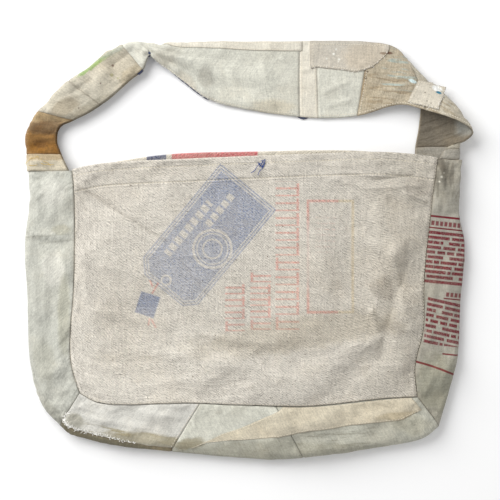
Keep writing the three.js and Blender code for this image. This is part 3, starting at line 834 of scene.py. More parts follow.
def back_print(p):
    ink = worn(p, 2.4, 0.6, 41.0) * 0.4 + 0.6
    blue = union(p, [(-119.5, 158, 25, 34, 0), (-30, 80, 150, 34, 0), (-30, -70, 190, 16, 0)])
    blue = blue.least(block(p.x, p.y, 0, 0, 330, 226).abs() - 2.5)
    p.tint((38, 60, 104), soft(blue) * ink)
    red = union(p, [(-63, 160, 74, 30, 0), (-12, 162, 44, 18, 0), (-30, 20, 120, 44, 0),
                    (80, 10, 26, 150, 0)])
    p.tint((194, 62, 76), soft(red.most(-block(p.x, p.y, -30, 20, 70, 14))) * ink * 0.9)


def stain_and_shade(p, cx, cy, rx, ry, colour, amount, degrees=0, seed=0.0, ragged=0.9):
    """A soft-edged blotch: a real stain in some places, painted shade in others."""
    a, b = turned(p.x, p.y, cx, cy, degrees)
    wobble = (p.noise(p.x * 0.07, p.y * 0.07, seed + 60, 4, 0.65) - 0.5) * ragged
    p.tint(colour, ((a * a / rx**2 + b * b / ry**2).sqrt() + wobble).ramp(1.15, 0.6) * amount)


def dots(p, spots, colour, amount=0.8):
    """Small round marks: cx, cy, radius."""
    total = None
    for cx, cy, radius in spots:
        d = ((p.x - cx) * (p.x - cx) + (p.y - cy) * (p.y - cy)).sqrt() - radius
        total = d if total is None else total.least(d)
    p.tint(colour, soft(total, 0.8) * amount)


def streaks(p, cx, cy, width, height, degrees, colour, amount, seed):
    """Streaks that run along a turned rectangle: paint and rubbing in some places, painted shade along folds
    in others.
    """
    a, b = turned(p.x, p.y, cx, cy, degrees)
    run = p.noise(a * 0.03, b * 0.2, seed, 3, 0.6).ramp(0.5, 0.62)
    p.tint(colour, run * soft(block(p.x, p.y, cx, cy, width, height, degrees), 6) * amount)


def brown_stain(p):
    p.tint((166, 142, 104), 0.6)
    stain_and_shade(p, -262, 172, 46, 30, (122, 86, 38), 0.92, ragged=1.3)
    stain_and_shade(p, -262, 166, 40, 12, (132, 90, 32), 0.8, seed=3)
    stain_and_shade(p, -266, 176, 12, 7, (92, 60, 24), 0.6, seed=4, ragged=1.6)
    stain_and_shade(p, -258, 196, 32, 10, (96, 72, 46), 0.75, seed=5)
    stain_and_shade(p, -232, 176, 8, 30, (96, 66, 36), 0.4, seed=6)
    stain_and_shade(p, -272, 214, 22, 12, (148, 126, 92), 0.5, seed=7)


def anchor_marks(p):
    stain_and_shade(p, -262, 160, 46, 7, (150, 120, 70), 0.55)


def left_marks(p):
    stain_and_shade(p, -214, 206, 34, 16, (150, 142, 124), 0.75, 30, 8)
    stain_and_shade(p, -236, 222, 22, 12, (150, 138, 116), 0.6, 30, 9)
    stain_and_shade(p, -196, 226, 26, 8, (140, 134, 118), 0.6, 30, 10)
    streaks(p, -197, 279, 66, 8, 37, (124, 156, 84), 0.9, 12.0)
    stain_and_shade(p, -200, 275, 24, 3.4, (120, 154, 80), 0.75, 37, 11, 2.2)
    stain_and_shade(p, -176, 292, 22, 3.4, (150, 160, 150), 0.5, 28, 14)
    dots(p, [(-175, 275.5, 1.6), (-190, 252, 0.9), (-218, 221, 0.9), (-162, 250, 0.8)], (62, 30, 36))
    dots(p, [(-176, 263, 2.2), (-168, 259, 1.2)], (150, 150, 110), 0.7)
    stain_and_shade(p, -150, 262, 20, 12, (160, 146, 118), 0.5, 40, 15)


def middle_marks(p):
    stain_and_shade(p, -56, 261, 11, 15, (160, 157, 146), 0.62, seed=21)
    stain_and_shade(p, -80, 256, 8, 18, (196, 190, 174), 0.7, 40, 22)
    stain_and_shade(p, -112, 284, 30, 12, (182, 178, 164), 0.6, 30, 23)
    stain_and_shade(p, 30, 222, 30, 12, (200, 190, 166), 0.5, 0, 24)


def tan_marks(p):
    streaks(p, 192, 268, 44, 52, -8, (150, 178, 178), 0.5, 30.0)
    streaks(p, 178, 240, 60, 50, -4, (120, 100, 70), 0.5, 33.0)
    stain_and_shade(p, 176, 292, 7, 2.0, (88, 56, 40), 0.85, -8, 31, 0.3)
    stain_and_shade(p, 207, 255, 6, 2.6, (206, 224, 224), 0.95, -20, 32, 0.3)
    dots(p, [(148, 260, 1.8), (144, 246, 1.6), (146, 252, 1.0), (150, 268, 1.2)], (62, 50, 38))
    stain_and_shade(p, 140, 250, 7, 34, (112, 92, 64), 0.55, -12, 34)


def curve_marks(p):
    stain_and_shade(p, 232, 222, 34, 24, (196, 188, 170), 0.55, -30, 35)
    streaks(p, 240, 226, 60, 40, -34, (140, 122, 92), 0.5, 36.0)


def top_patch_marks(p):
    dots(p, [(107, 291, 1.5), (110, 297, 1.2), (98, 285, 1.0), (114, 284, 1.3), (113, 281, 0.8)],
         (240, 240, 232))
    dots(p, [(129, 257, 1.4), (190, 284, 1.0)], (104, 72, 52))
    stain_and_shade(p, 172, 291, 7, 1.8, (92, 60, 44), 0.85, -8, 37, 0.3)
    stain_and_shade(p, 150, 288, 36, 20, (186, 170, 146), 0.4, 0, 38)


def tab_marks(p):
    stain_and_shade(p, 238, 245.5, 7.5, 4.4, (246, 247, 243), 1.0, -14, 39, 0.35)
    stain_and_shade(p, 239.5, 240, 4.2, 1.9, (22, 112, 138), 1.0, -16, 40, 0.3)
    dots(p, [(212.5, 247.5, 1.1), (203, 239, 0.7)], (244, 244, 238))
    dots(p, [(222, 240, 0.8), (224, 229, 0.8), (229, 226, 0.7)], (70, 58, 46))


def lining_marks(p):
    """The inside of the loop, lighter where the strap turns over, with dark streaks across it that are
    painted shade.
    """
    p.tint((150, 150, 143), p.x.ramp(258, 268) * p.y.ramp(182, 190) * 0.9)
    streaks(p, 240, 190, 60, 50, 20, (84, 76, 64), 0.5, 44.0)


def side_marks(p):
    # The tucks are drawn as dark lines: painted shade in their creases.
    tucks = block(p.x, p.y, -256, 58.5, 60, 1.0, 4).least(block(p.x, p.y, -246, 51, 44, 0.8, 7))
    p.tint((112, 108, 92), soft(tucks, 1.6) * 0.4)
    stain_and_shade(p, -240, 66, 14, 7, (160, 156, 136), 0.5, 0, 80)
    # A long darker blotch beside the panel's seam: painted shade.
    stain_and_shade(p, -236, -40, 9, 60, (172, 170, 150), 0.5, 0, 81)
    stain_and_shade(p, -262, -100, 16, 34, (166, 164, 148), 0.4, 10, 82)
    stain_and_shade(p, -250, 16, 16, 24, (216, 214, 204), 0.6, 0, 83)
    stain_and_shade(p, -250, 112, 18, 20, (212, 210, 200), 0.5, 0, 85)
    # A dark blotch in the fold at the lower corner: painted shade.
    stain_and_shade(p, -250, -166, 20, 8, (140, 140, 130), 0.6, -50, 84)


def right_marks(p):
    # The next four marks are painted shade in the folds at the top of the right gusset.
    stain_and_shade(p, 246, 128, 16, 26, (124, 120, 108), 0.7, 0, 45)
    stain_and_shade(p, 243, 148, 5, 12, (84, 80, 72), 0.7, 12, 75)
    stain_and_shade(p, 256, 136, 3, 18, (84, 80, 72), 0.5, -6, 76)
    streaks(p, 250, 120, 30, 80, 84, (112, 108, 96), 0.6, 59.0)
    stain_and_shade(p, 240, -130, 34, 44, (142, 142, 126), 0.75, 0, 46)
    ruled_print(p)
    dots(p, [(243, 133, 1.6), (240, 127, 1.1), (246, 138, 0.9)], (226, 222, 206))


def bottom_marks(p):
    # A darker band along the bottom edge: painted shade where the cloth rolls under.
    stain_and_shade(p, 40, -214, 190, 12, (140, 138, 122), 0.5, 0, 47)
    stain_and_shade(p, 200, -178, 30, 16, (176, 172, 152), 0.5, -20, 48)
    streaks(p, 30, -206, 260, 26, 4, (128, 126, 112), 0.45, 49.0)


def bottom_middle_marks(p):
    bottom_marks(p)
    a, b = turned(p.x, p.y, 0, -201, 9)
    p.tint((160, 158, 144), b.ramp(6, -6) * 0.9)
    stain_and_shade(p, 40, -176, 60, 10, (186, 186, 178), 0.5, 8, 55)
    stain_and_shade(p, -78, -206, 22, 8, (142, 132, 104), 0.7, 10, 86)


def bottom_left_marks(p):
    streaks(p, -150, -198, 120, 18, -10, (148, 138, 108), 0.9, 56.0)
    stain_and_shade(p, -128, -200, 62, 9, (142, 132, 104), 0.75, -8, 57)
    stain_and_shade(p, -222, -176, 14, 10, (150, 146, 128), 0.6, -30, 58)
    stain_and_shade(p, -110, -206, 60, 12, (178, 172, 152), 0.5, -8, 50)
    stain_and_shade(p, -60, -192, 26, 10, (196, 190, 170), 0.6, 12, 51)


def patch_marks(p):
    stain_and_shade(p, 190, -170, 32, 6, (158, 142, 108), 0.45, 4, 52)
    stain_and_shade(p, 60, -188, 60, 7, (184, 176, 158), 0.6, 8, 53)
    stain_and_shade(p, -30, -200, 30, 8, (214, 204, 180), 0.6, 20, 54)


# ------------------------------------------------------------------ materials

SACKING = cloth("sacking", (204, 198, 187), 1, front_print_and_shade, pitch=1.5, slub=0.9, twill=0.34, contrast=0.72,
                depth=0.7, soil=0.2, specks=0.9, blotch=0.1)
BACKING = cloth("printed_sacking", (210, 203, 188), 2, back_print, pitch=1.4, slub=0.8, twill=0.34,
                contrast=0.7, depth=0.7)
PALE = cloth("pale_cotton", (208, 206, 198), 3, bottom_left_marks, soil=0.22, specks=0.3, edge=0.2)
WHITE = cloth("white_cotton", (201, 200, 188), 12, middle_marks, soil=0.2, specks=0.3, edge=0.25)
PALE_LEFT = cloth("side_cotton", (186, 186, 176), 4, side_marks, contrast=0.7, soil=0.2)
GREY = cloth("grey_cotton", (180, 179, 166), 5, bottom_marks, contrast=0.7, soil=0.2, specks=0.35, edge=0.15)
# Its base colour is darker partly as painted shade over the right side, partly for soil.
RULED = cloth("ruled_cotton", (166, 162, 150), 6, right_marks, soil=0.2, specks=0.3)
MIDDLE = cloth("middle_cotton", (206, 205, 192), 22, bottom_middle_marks, soil=0.25, specks=0.3, edge=0.15)
CREAM = cloth("cream_cotton", (204, 195, 174), 7, patch_marks, soil=0.3, edge=0.25)
BINDING = cloth("binding_cotton", (214, 209, 195), 13, contrast=0.55, soil=0.2, edge=0.25)
BEIGE = cloth("beige_cotton", (184, 178, 162), 8, left_marks, contrast=0.75, edge=0.6)
ANCHOR = cloth("anchor_cotton", (196, 188, 168), 14, anchor_marks, contrast=0.7, edge=0.5)
STAINED = cloth("stained_cotton", (150, 134, 108), 15, brown_stain, contrast=0.9, soil=0.4)
TOP_PATCH = cloth("top_patch_cotton", (194, 188, 176), 16, top_patch_marks, soil=0.25)
TAB = cloth("tab_cotton", (204, 197, 182), 17, tab_marks, soil=0.25)
TAN = cloth("tan_cotton", (174, 163, 142), 9, tan_marks, contrast=0.95, soil=0.45)
CURVE = cloth("curve_cotton", (180, 173, 156), 18, curve_marks, contrast=0.8, soil=0.4)
OLIVE = cloth("olive_cotton", (116, 110, 90), 19, contrast=0.8, soil=0.4)
DIM = cloth("worn_grey_cotton", (158, 154, 144), 21, contrast=0.75, soil=0.3)
NAVY = cloth("navy_lining", (70, 80, 112), 10, contrast=0.5, soil=0.15)
# The lining's dark base colour is partly painted shade inside the loop.
SHADED_LINING = cloth("brown_lining", (120, 112, 98), 11, lining_marks, contrast=0.6, soil=0.3)


def thread_material(name, colour):
    p = Pattern(name, colour)
    ply = p.noise(p.x * 1.2, p.y * 1.2, p.z * 1.2, 2)
    p.brightness(ply * 0.5 + 0.75)
    return p.finish(ply, 0.1, 0.8)


PALE_THREAD = thread_material("pale_thread", (222, 214, 196))
WHITE_THREAD = thread_material("white_thread", (246, 244, 238))
BLUE_THREAD = thread_material("blue_thread", (58, 78, 134))
YELLOW_THREAD = thread_material("yellow_thread", (196, 166, 88))

# ------------------------------------------------------------------ pieces


def dress(obj, material, slot):
    """Gives a piece its looks; slot, the name of its material in the part's record, is not used."""
    obj.data.materials.append(material)
    return obj


def blend_where(obj, at, rate):
    """Bakes the piece's placing into its mesh; at and rate, in 1/mm, where rate·(point − at) would go from 0
    to 1 between two bodies, are not used.
    """
    at, rate = np.array(at, float), np.array(rate, float)
    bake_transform(obj)


def seam_dip(distance, depth, reach):
    """The cloth drawn down at a seam."""
    return -depth * np.exp(-((distance / reach) ** 2))


def puckers(run, distance, size, depth, reach, seed):
    """Small gathers along a seam that die out away from it."""
    return depth * noise(run, distance * 0.3, size, seed) * np.exp(-distance / reach)


SEARCH_GRID = (161, 481)


def shown_from_above(surface, t, u=(0, 1)):
    """A surface's points, for finding places on it from x and y."""
    U, T = np.meshgrid(np.linspace(*u, SEARCH_GRID[0]), np.linspace(*t, SEARCH_GRID[1]), indexing="ij")
    return U.ravel(), T.ravel(), surface(U, T).reshape(-1, 3)


def locate(shown, points):
    """Where on a surface each x, y lies: u, t and z."""
    U, T, places = shown
    nearest = [np.argmin((places[:, 0] - x) ** 2 + (places[:, 1] - y) ** 2) for x, y in points]
    return U[nearest], T[nearest], places[nearest, 2]


def edge_through(shown, points):
    """A limit across a sheet, as a function of t, that passes through points given by x and y."""
    u, t, _ = locate(shown, points)
    order = np.argsort(t)
    u, t = u[order], t[order]
    return lambda at: np.interp(at, t, u)


FRONT_FOLDS = [
    (190, 114, 228, 101, 2.4, 3.0), (176, 60, 204, -54, 7, 3.6), (150, 96, 205, 30, 6, 3.0),
    (205, 40, 160, -120, 6, -2.8), (120, 120, 190, -20, 9, 1.5), (-200, -70, -120, -140, 8, 1.6),
    (-222, 124, -104, 50, 3.4, -2.4), (-215, 60, -190, -90, 7, 1.8), (60, 140, 110, -10, 10, 1.2),
    (20, -60, 90, -150, 9, 1.5), (-90, -64, 40, -78, 4, 1.0), (90, -106, 205, -104, 3, 0.9),
    (120, 139, 182, 133, 3, 1.8), (150, 128, 216, 137, 3, -2.0), (140, 118, 226, 124, 3.5, 2.0),
    (96, 130, 150, 122, 4, 1.4), (148, 54, 166, 34, 2.2, 2.0), (152, -32, 164, -66, 2.4, 2.4),
    (120, 60, 226, 20, 6, 2.4), (110, -20, 220, -64, 7, 2.6), (60, -90, 200, -60, 8, 2.0),
    (-210, -30, -90, -60, 7, 1.8), (-200, 20, -110, 10, 6, 1.4), (-60, -96, 60, -120, 6, 1.8),
    (170, 106, 214, 84, 4, -2.2), (-160, 10, -40, -30, 8, 1.0), (-30, -120, -130, -135, 6, 1.2),
    (-20, -40, 40, -110, 8, -1.6), (150, -40, 166, -20, 5, 1.6), (170, 20, 200, 60, 6, 1.8),
    (-222, 80, -160, 84, 3, 0.8),
]
front_wrinkles = buckled(front_surface, (-1, 1), (0, 1), 6.0, 0.012, 2.4, 4.0, seed=1)


def mouth_distance(surface, s):
    """How far each place on a panel is from its mouth edge."""
    return surface(s["u"], 0 * s["u"] + 1)[..., 1] - s["y"]


def front_relief(s):
    x, y, t = s["x"], s["y"], over(s["t"])
    inside = np.minimum.reduce([s["u0"], s["u1"], t * 2 * HALF_HEIGHT])
    from_mouth = mouth_distance(front_surface, s)
    z = 1.4 * folds(x, y, FRONT_FOLDS) * smooth(inside / 9) + 1.2 * front_wrinkles(s["u"], t)
    bumps = 2.2 * noise(x, y, 84, 11) + 0.4 * noise(x, y, 22, 12) + 0.14 * noise(x, y, 7, 13)
    z = z + bumps * smooth(inside / 20)
    z = z - 2.2 * smooth(inside / 110)
    z = z + seam_dip(inside, 1.2, 2.0) + puckers(x + y, inside, 13, 0.45, 9, 14)
    z = z + 0.7 * smooth((HEM_DEPTH - from_mouth) / 1.6)
    z = z - 1.3 * np.exp(-(((from_mouth - HEM_LINE) / 1.3) ** 2))
    z = z - 0.5 * np.exp(-(((from_mouth - MOUTH_LINE) / 1.2) ** 2))
    return z + 0.5 * noise(x, 0 * x, 8, 15) * np.exp(-(((from_mouth - HEM_LINE) / 6) ** 2))


def back_relief(s):
    x, y, from_mouth = s["x"], s["y"], mouth_distance(back_surface, s)
    z = 0.6 + 0.5 * smooth(noise(x, y, 60, 21) * 2) + 0.35 * smooth(noise(x, y, 22, 22) * 2)
    return z + 0.5 * smooth((HEM_DEPTH + 3 - from_mouth) / 2.5)


def panel_rows():
    """Where a panel's rows run: closest near the mouth, then round its turn and back along the hem."""
    turn = 1 + np.linspace(0.125, 1, 8) * math.pi * HEM_TURN / (2 * HALF_HEIGHT)
    end = turn[-1] + (HEM_DEPTH + 4) / (2 * HALF_HEIGHT)
    return np.concatenate([np.linspace(0.002, 0.77, 108), np.linspace(0.775, 1, 130), turn,
                           np.linspace(turn[-1], end, 16)[1:]])


ROWS = panel_rows()
ACROSS = (-0.998, 0.998)
front = Sheet("front_panel_cloth", front_surface, ACROSS, ROWS, -PLY / 2, PLY / 2, front_relief, upright=True,
              pitch=1.7)
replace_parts(dress(front.object, SACKING, "sacking"), "front_panel")
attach(front.object, "front_side")
back = Sheet("back_panel_cloth", back_surface, ACROSS, ROWS, -PLY / 2, PLY / 2, back_relief, upright=True)
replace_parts(dress(back.object, BACKING, "printed_sacking"), "back_panel")
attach(back.object, "back_side")

LEFT_FOLDS = [
    (-286, 60, -226, 56, 2.4, 3.0), (-286, 54, -230, 50, 3, -1.8), (-262, 46, -256, -60, 6, 2.4),
    (-246, 130, -250, 70, 6, 1.8), (-272, 132, -266, 74, 6, 1.8), (-244, -10, -236, -120, 6, 2.0),
    (-270, -60, -250, -150, 7, 2.2), (-240, 44, -234, 0, 5, 1.4), (-255, -100, -232, -160, 5, 1.5),
    (-276, 20, -270, -50, 5, 1.4), (-250, -30, -262, -90, 5, -1.4),
]
BOTTOM_FOLDS = [
    (-220, -170, -120, -184, 6, 2.2), (-200, -188, -60, -206, 8, 2.2), (-150, -164, -80, -172, 5, 1.6),
    (-60, -186, 60, -206, 9, 1.8), (60, -216, 190, -196, 8, 2.0), (-20, -212, 90, -216, 6, 1.6),
    (140, -170, 210, -172, 6, 1.6), (-226, -158, -180, -166, 4, 1.6), (-160, -190, -150, -206, 5, 1.5),
    (20, -190, 60, -214, 6, -1.6), (-72, -160, -70, -190, 2, 1.2),
]
RIGHT_FOLDS = [
    (238, 152, 246, 112, 3, 2.4), (252, 153, 250, 118, 3, -2.2), (244, 120, 252, 84, 5, 2.4),
    (256, 40, 246, -80, 7, 2.0), (236, 20, 228, -90, 6, 1.8), (258, -90, 236, -150, 6, 2.0),
    (262, 140, 254, 96, 5, 2.0), (232, -110, 222, -150, 5, 1.6), (238, 90, 266, 86, 4, -1.8),
    (250, 0, 262, -40, 5, 1.4),
]
SIDE_FOLDS = {"left": LEFT_FOLDS, "bottom": BOTTOM_FOLDS, "right": RIGHT_FOLDS}
side_wrinkles = {side: buckled(band[side], (0.03, 1), (0, 1), 4.5, 0.045, 3.4, 0.7, seed=2) for side in band}


BAND_REACH = 60


def band_relief(side):
    def relief(s):
        x, y, u = s["x"], s["y"], s["u"]
        run = x if side == "bottom" else y
        top = smooth(u / 0.12)
        near = (1 - np.abs(u)) * BAND_REACH
        open_ = smooth(near / 12) * smooth(np.abs(u) / 0.2)
        z = 1.3 * folds(x, y, SIDE_FOLDS[side]) * top * open_ + side_wrinkles[side](u, s["t"]) * top
        bumps = 1.4 * noise(run, near, 46, 31) + 0.5 * noise(run, near * 1.6, 17, 32)
        z = z + bumps * open_ * (0.35 + 0.65 * top)
        z = z + 0.14 * noise(x, y, 6, 33) * open_
        z = z + seam_dip(near, 0.8, 3.0) * top + puckers(run, near, 6.5, 0.9, 9, 34) * top
        crease = np.exp(-((u / 0.1) ** 2))
        return z + crease * (0.5 * noise(run, 0 * run, 30, 35) + 0.3 * noise(run, 0 * run, 9, 36))

    return relief


BAND_SEAM, STRAP_SEAM = 0.2, 0.45


def seam_ends(relief, depth):
    """Adds the dip where a piece is sewn to the next one at its ends."""
    return lambda s: relief(s) + seam_dip(s["t0"], depth, 1.8) + seam_dip(s["t1"], depth, 1.8)


BAND_EDGE = 0.998
# Pieces of the band meet at these shares of its run, a hair apart.
RIGHT_JOIN, LEFT_JOIN = 0.42, 0.64
JOIN = 0.0004
UPPER_HALF, UNDER_HALF = (0, BAND_EDGE), (-BAND_EDGE, 0)


def open_with_front(obj):
    """Bakes the placing of cloth on the band's upper half into its mesh."""
    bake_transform(obj)


def lay_on_band(name, side, u, t, material, slot, node, ply=(-PLY / 2, PLY / 2), relief=None):
    """A piece on the upper or lower half of the gusset band."""
    piece = Sheet(name, band[side], u, t, *ply, relief or seam_ends(band_relief(side), BAND_SEAM))
    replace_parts(dress(piece.object, material, slot), node)
    if u == UNDER_HALF:
        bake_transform(piece.object)
    else:
        open_with_front(piece.object)
    return piece


from_above = {side: shown_from_above(band[side], (0, 1)) for side in band}
# The seam between the pale cloth and the olive strip, from the corner along to the next piece.
olive_seam = edge_through(from_above["bottom"], [
    (-236, -176), (-224, -186), (-214, -190), (-187, -196.5), (-155, -203.5), (-128, -209), (-82, -213),
])
sheets = {}
for node, side, start, end, material, slot in [
    ("left_gusset", "left", JOIN, 1, PALE_LEFT, "pale_cotton"),
    ("right_gusset", "right", 0, 1 - JOIN, RULED, "grey_cotton"),
    ("bottom_gusset_right", "bottom", JOIN, RIGHT_JOIN - JOIN, GREY, "grey_cotton"),
    ("bottom_gusset_middle", "bottom", RIGHT_JOIN + JOIN, LEFT_JOIN - JOIN, MIDDLE, "pale_cotton"),
]:
    sheets[node] = lay_on_band(node + "_front", side, UPPER_HALF, (start, end), material, slot, node)
    lay_on_band(node + "_under", side, UNDER_HALF, (start, end), material, slot, node)
left_share = (LEFT_JOIN + JOIN, 1 - JOIN)
for name, across, material, slot, node in [
    ("bottom_gusset_left_front", (olive_seam, BAND_EDGE), PALE, "pale_cotton", "bottom_gusset_left"),
    ("bottom_gusset_strip", (0, olive_seam), OLIVE, "tan_cotton", "bottom_gusset_under"),
    ("bottom_gusset_left_under", UNDER_HALF, OLIVE, "tan_cotton", "bottom_gusset_under"),
]:
    sheets[name] = lay_on_band(name, "bottom", across, left_share, material, slot, node)
left_front = sheets["bottom_gusset_left_front"]

# The cream patch runs from a point at the left to the right corner, along the panel's seam.
patch_top = edge_through(from_above["bottom"], [
    (-76, -211), (-36, -193), (-5, -183), (36, -165), (43, -158), (80, -157), (166, -149), (212, -146),
])
patch_low = edge_through(from_above["bottom"], [
    (-76, -212), (-55, -204.5), (-25, -201.5), (0, -200.5), (36, -197), (76, -189), (127, -182.5),
    (169, -177), (190, -175.5), (214, -164),
])


def patch_relief(s):
    return band_relief("bottom")(s) + 0.4 * noise(s["x"], s["y"], 12, 37)


_, patch_ends, _ = locate(from_above["bottom"], [(-76, -211), (214, -158)])
patch = lay_on_band("bottom_patch_cloth", "bottom", (patch_low, lambda t: np.minimum(patch_top(t), 0.985)),
                    (patch_ends.min(), patch_ends.max()), CREAM, "cream_cotton", "bottom_patch",
                    (PLY / 2 + 0.2, PLY / 2 + 0.8), patch_relief)

strap_wrinkles = buckled(strap_surface, (-1, 1), (0, 1), 5.5, 0.035, 2.8, 0.8, seed=4)
STRAP_FOLDS = [
    (-124, 292, -84, 266, 3, 1.8), (-112, 290, -46, 278, 3, 1.6), (-114, 282, -66, 240, 3, -1.6),
    (-104, 270, -84, 250, 2.5, 1.4), (15, 288, 20, 256, 2.5, 1.5), (34, 290, 62, 268, 2.2, 1.4),
    (-20, 244, 40, 226, 4, 1.6), (-30, 276, -8, 238, 4, 1.4), (104, 262, 126, 236, 2.2, 1.4),
    (90, 240, 130, 258, 2.2, 1.2), (96, 222, 132, 234, 3, 1.4), (60, 268, 80, 273, 2.2, 1.4),
    (58, 236, 82, 246, 2.2, -1.2), (140, 284, 170, 252, 4, 1.6), (160, 240, 200, 250, 3, 1.4),
    (-262, 218, -226, 208, 3, 1.8), (-256, 208, -232, 196, 2.5, -1.6), (-250, 226, -206, 244, 3, 1.4),
    (-232, 236, -196, 262, 3, -1.2), (-200, 250, -176, 274, 3, 1.4), (-280, 176, -244, 187, 1.8, 1.2),
    (-276, 200, -246, 190, 3, 1.4), (-180, 268, -152, 296, 3.5, -1.6), (-172, 252, -146, 270, 3, 1.6),
    (-148, 300, -124, 290, 3, 1.6), (-284, 150, -240, 156, 2.5, 1.0),
]


HALF_STRAP, STATION_RUN = 49, 34


def strap_relief(s):
    u, station = s["u"], s["t"] * LAST
    across, run = u * HALF_STRAP, station * STATION_RUN
    tube = 1 - smooth((station - 8.6) / 1.5)
    wide = smooth((station - 10) / 1.6) * (1 - smooth((station - 16.4) / 1.4))
    pinch = np.exp(-(((station - 9.6) / 1.5) ** 2))
    inside = smooth((1 - np.abs(u)) * HALF_STRAP / 6)
    z = tube * inside * (1.9 * noise(run * 1.1, across, 24, 51) + 0.8 * noise(run, across, 9, 52))
    bumps = 1.2 * noise(run, across, 44, 53) + 0.45 * noise(run, across, 15, 54)
    z = z + wide * bumps * (0.5 + 0.5 * inside)
    gathers = 1.2 * np.sin(u * 11 + 0.6 * noise(run, across, 30, 55)) + 0.5 * noise(run, across, 8, 56)
    z = z + pinch * inside * gathers
    fan = smooth((station - 9.4) / 1.0) * (1 - smooth((station - 12.6) / 2.2))
    z = z + fan * inside * 1.2 * np.sin(u * 7.5 + 1.3)
    z = z + 1.5 * folds(s["x"], s["y"], STRAP_FOLDS) * inside
    return z + 0.12 * noise(run, across, 5, 57) + strap_wrinkles(u, s["t"])


TUCKED = 0.94


def rim(places, shown=1.06, sign=1):
    """The lining's edge: tucked in, but showing past the cloth at some places along the strap."""

    def at(t):
        total = 0 * t
        for start, end in places:
            total = np.maximum(total, smooth((t * LAST - start) / 0.2) * smooth((end - t * LAST) / 0.2))
        return sign * (TUCKED + (shown - TUCKED) * total)

    return at


OUTER, INNER = (0.25, 1.4), (-1.4, -0.25)
WHOLE = (-1, 1)
LEFT_SIDE = (rim([], sign=-1), rim([(7.4, 8.6)]))
MIDDLE_SIDE = (rim([], sign=-1), rim([(8.7, 9.3), (9.9, 12.0), (13.5, 13.9)]))
RIGHT_SIDE = (rim([(17.6, 30)], shown=0.985, sign=-1), rim([(15.9, 16.6), (17.4, 30)], shown=0.99))
STRAP_PIECES = [
    ("strap_left_anchor", 0, 1, OUTER, WHOLE, ANCHOR, "beige_cotton"),
    ("lining_left_anchor", 0, 1, INNER, WHOLE, ANCHOR, "beige_cotton"),
    ("strap_stained_piece", 1, 4, OUTER, WHOLE, STAINED, "stained_cotton"),
    ("strap_lower_left_piece", 4, 5.6, OUTER, WHOLE, BEIGE, "beige_cotton"),
    ("strap_upper_left_piece", 5.6, 8, OUTER, WHOLE, BEIGE, "beige_cotton"),
    ("strap_middle_piece", 8, 13.65, OUTER, WHOLE, WHITE, "pale_cotton"),
    ("strap_join_band", 13.65, 13.98, OUTER, WHOLE, BINDING, "cream_cotton"),
    ("strap_white_piece", 13.98, 14.95, OUTER, WHOLE, WHITE, "pale_cotton"),
    ("strap_tan_piece", 14.95, 17, OUTER, WHOLE, TAN, "tan_cotton"),
    ("strap_curve_piece", 17, 19.4, OUTER, WHOLE, CURVE, "tan_cotton"),
    ("strap_return_piece", 19.4, 22, OUTER, WHOLE, CURVE, "tan_cotton"),
    ("strap_right_anchor", 22, 23, OUTER, WHOLE, DIM, "grey_cotton"),
    ("lining_right_anchor", 22, 23, INNER, WHOLE, DIM, "grey_cotton"),
    ("lining_left", 1, 8, INNER, LEFT_SIDE, NAVY, "navy_lining"),
    ("lining_middle", 8, 14.5, INNER, MIDDLE_SIDE, NAVY, "navy_lining"),
    ("lining_right", 14.5, 22, INNER, RIGHT_SIDE, SHADED_LINING, "brown_lining"),
]
LEFT_HINGE, RIGHT_HINGE = (0, 161, 0), (0, 172, 0)
LEFT_GIVE, RIGHT_GIVE = (0, 1 / 42, 0), (0, 1 / 33, 0)


def ride_strap(obj, start, end):
    """The strap's pieces near each end stay where they lie, and the rest swings as one."""
    if start < 6:
        blend_where(obj, LEFT_HINGE, LEFT_GIVE)
    elif end > 18:
        blend_where(obj, RIGHT_HINGE, RIGHT_GIVE)
    else:
        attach(obj, "strap")


def ride_anchor(obj, y, depth, upper):
    """An anchor's piece stays where it lies; it does not open with the band at its foot or follow the band's
    fold at its top.
    """
    if upper:
        blend_where(obj, (0, y, 9.5), (0, -1 / depth, 1 / 8.7))
    else:
        blend_where(obj, (0, y, 3.0), (0, 1 / depth, 1 / 6.0))


for node, start, end, ply, u, material, slot in STRAP_PIECES:
    relief = seam_ends(strap_relief, STRAP_SEAM) if ply is OUTER else strap_relief
    t = (start / LAST + 1e-5, end / LAST - 1e-5)
    if "anchor" in node:
        for half, across in (("front", (0, 1)), ("back", (-1, 0))):
            piece = Sheet(f"{node}_{half}", strap_surface, across, t, *ply, relief, room=PLY)
            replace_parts(dress(piece.object, material, slot), node)
            ride_anchor(piece.object, *((142, 19) if end == 1 else (158, 13)), half == "front")
    else:
        piece = Sheet(node + "_cloth", strap_surface, u, t, *ply, relief, room=PLY)
        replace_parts(dress(piece.object, material, slot), node)
        ride_strap(piece.object, start, end)
    sheets[node] = piece

PATCH_PLY, TAB_PLY = (1.45, 2.05), (2.2, 3.2)
wide_strap = shown_from_above(strap_surface, (13 / LAST, 17.4 / LAST), (-1, 1))
top_patch_edge = edge_through(wide_strap, [
    (80, 272), (84, 274), (101, 272), (119, 270), (134, 267), (146, 270), (156, 273), (164, 281), (172, 288),
    (178, 296),
])
for node, start, end, u, material, slot in [
    ("strap_binding", 10.15, 13.7, (-0.995, -0.74), BINDING, "cream_cotton"),
    ("strap_top_patch", 13.85, 15.7, (-0.995, top_patch_edge), TOP_PATCH, "beige_cotton"),
]:
    t = (start / LAST, end / LAST)
    piece = Sheet(node + "_cloth", strap_surface, u, t, *PATCH_PLY, strap_relief, room=PLY)
    sheets[node] = piece
    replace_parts(dress(piece.object, material, slot), node)
    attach(piece.object, "strap")

TAB_CORNERS = np.array([(200, 227.5), (214, 256), (238, 216.5), (250, 247)], float)
turn_of_strap = shown_from_above(strap_surface, (16 / LAST, 18.6 / LAST), (-1, 1))


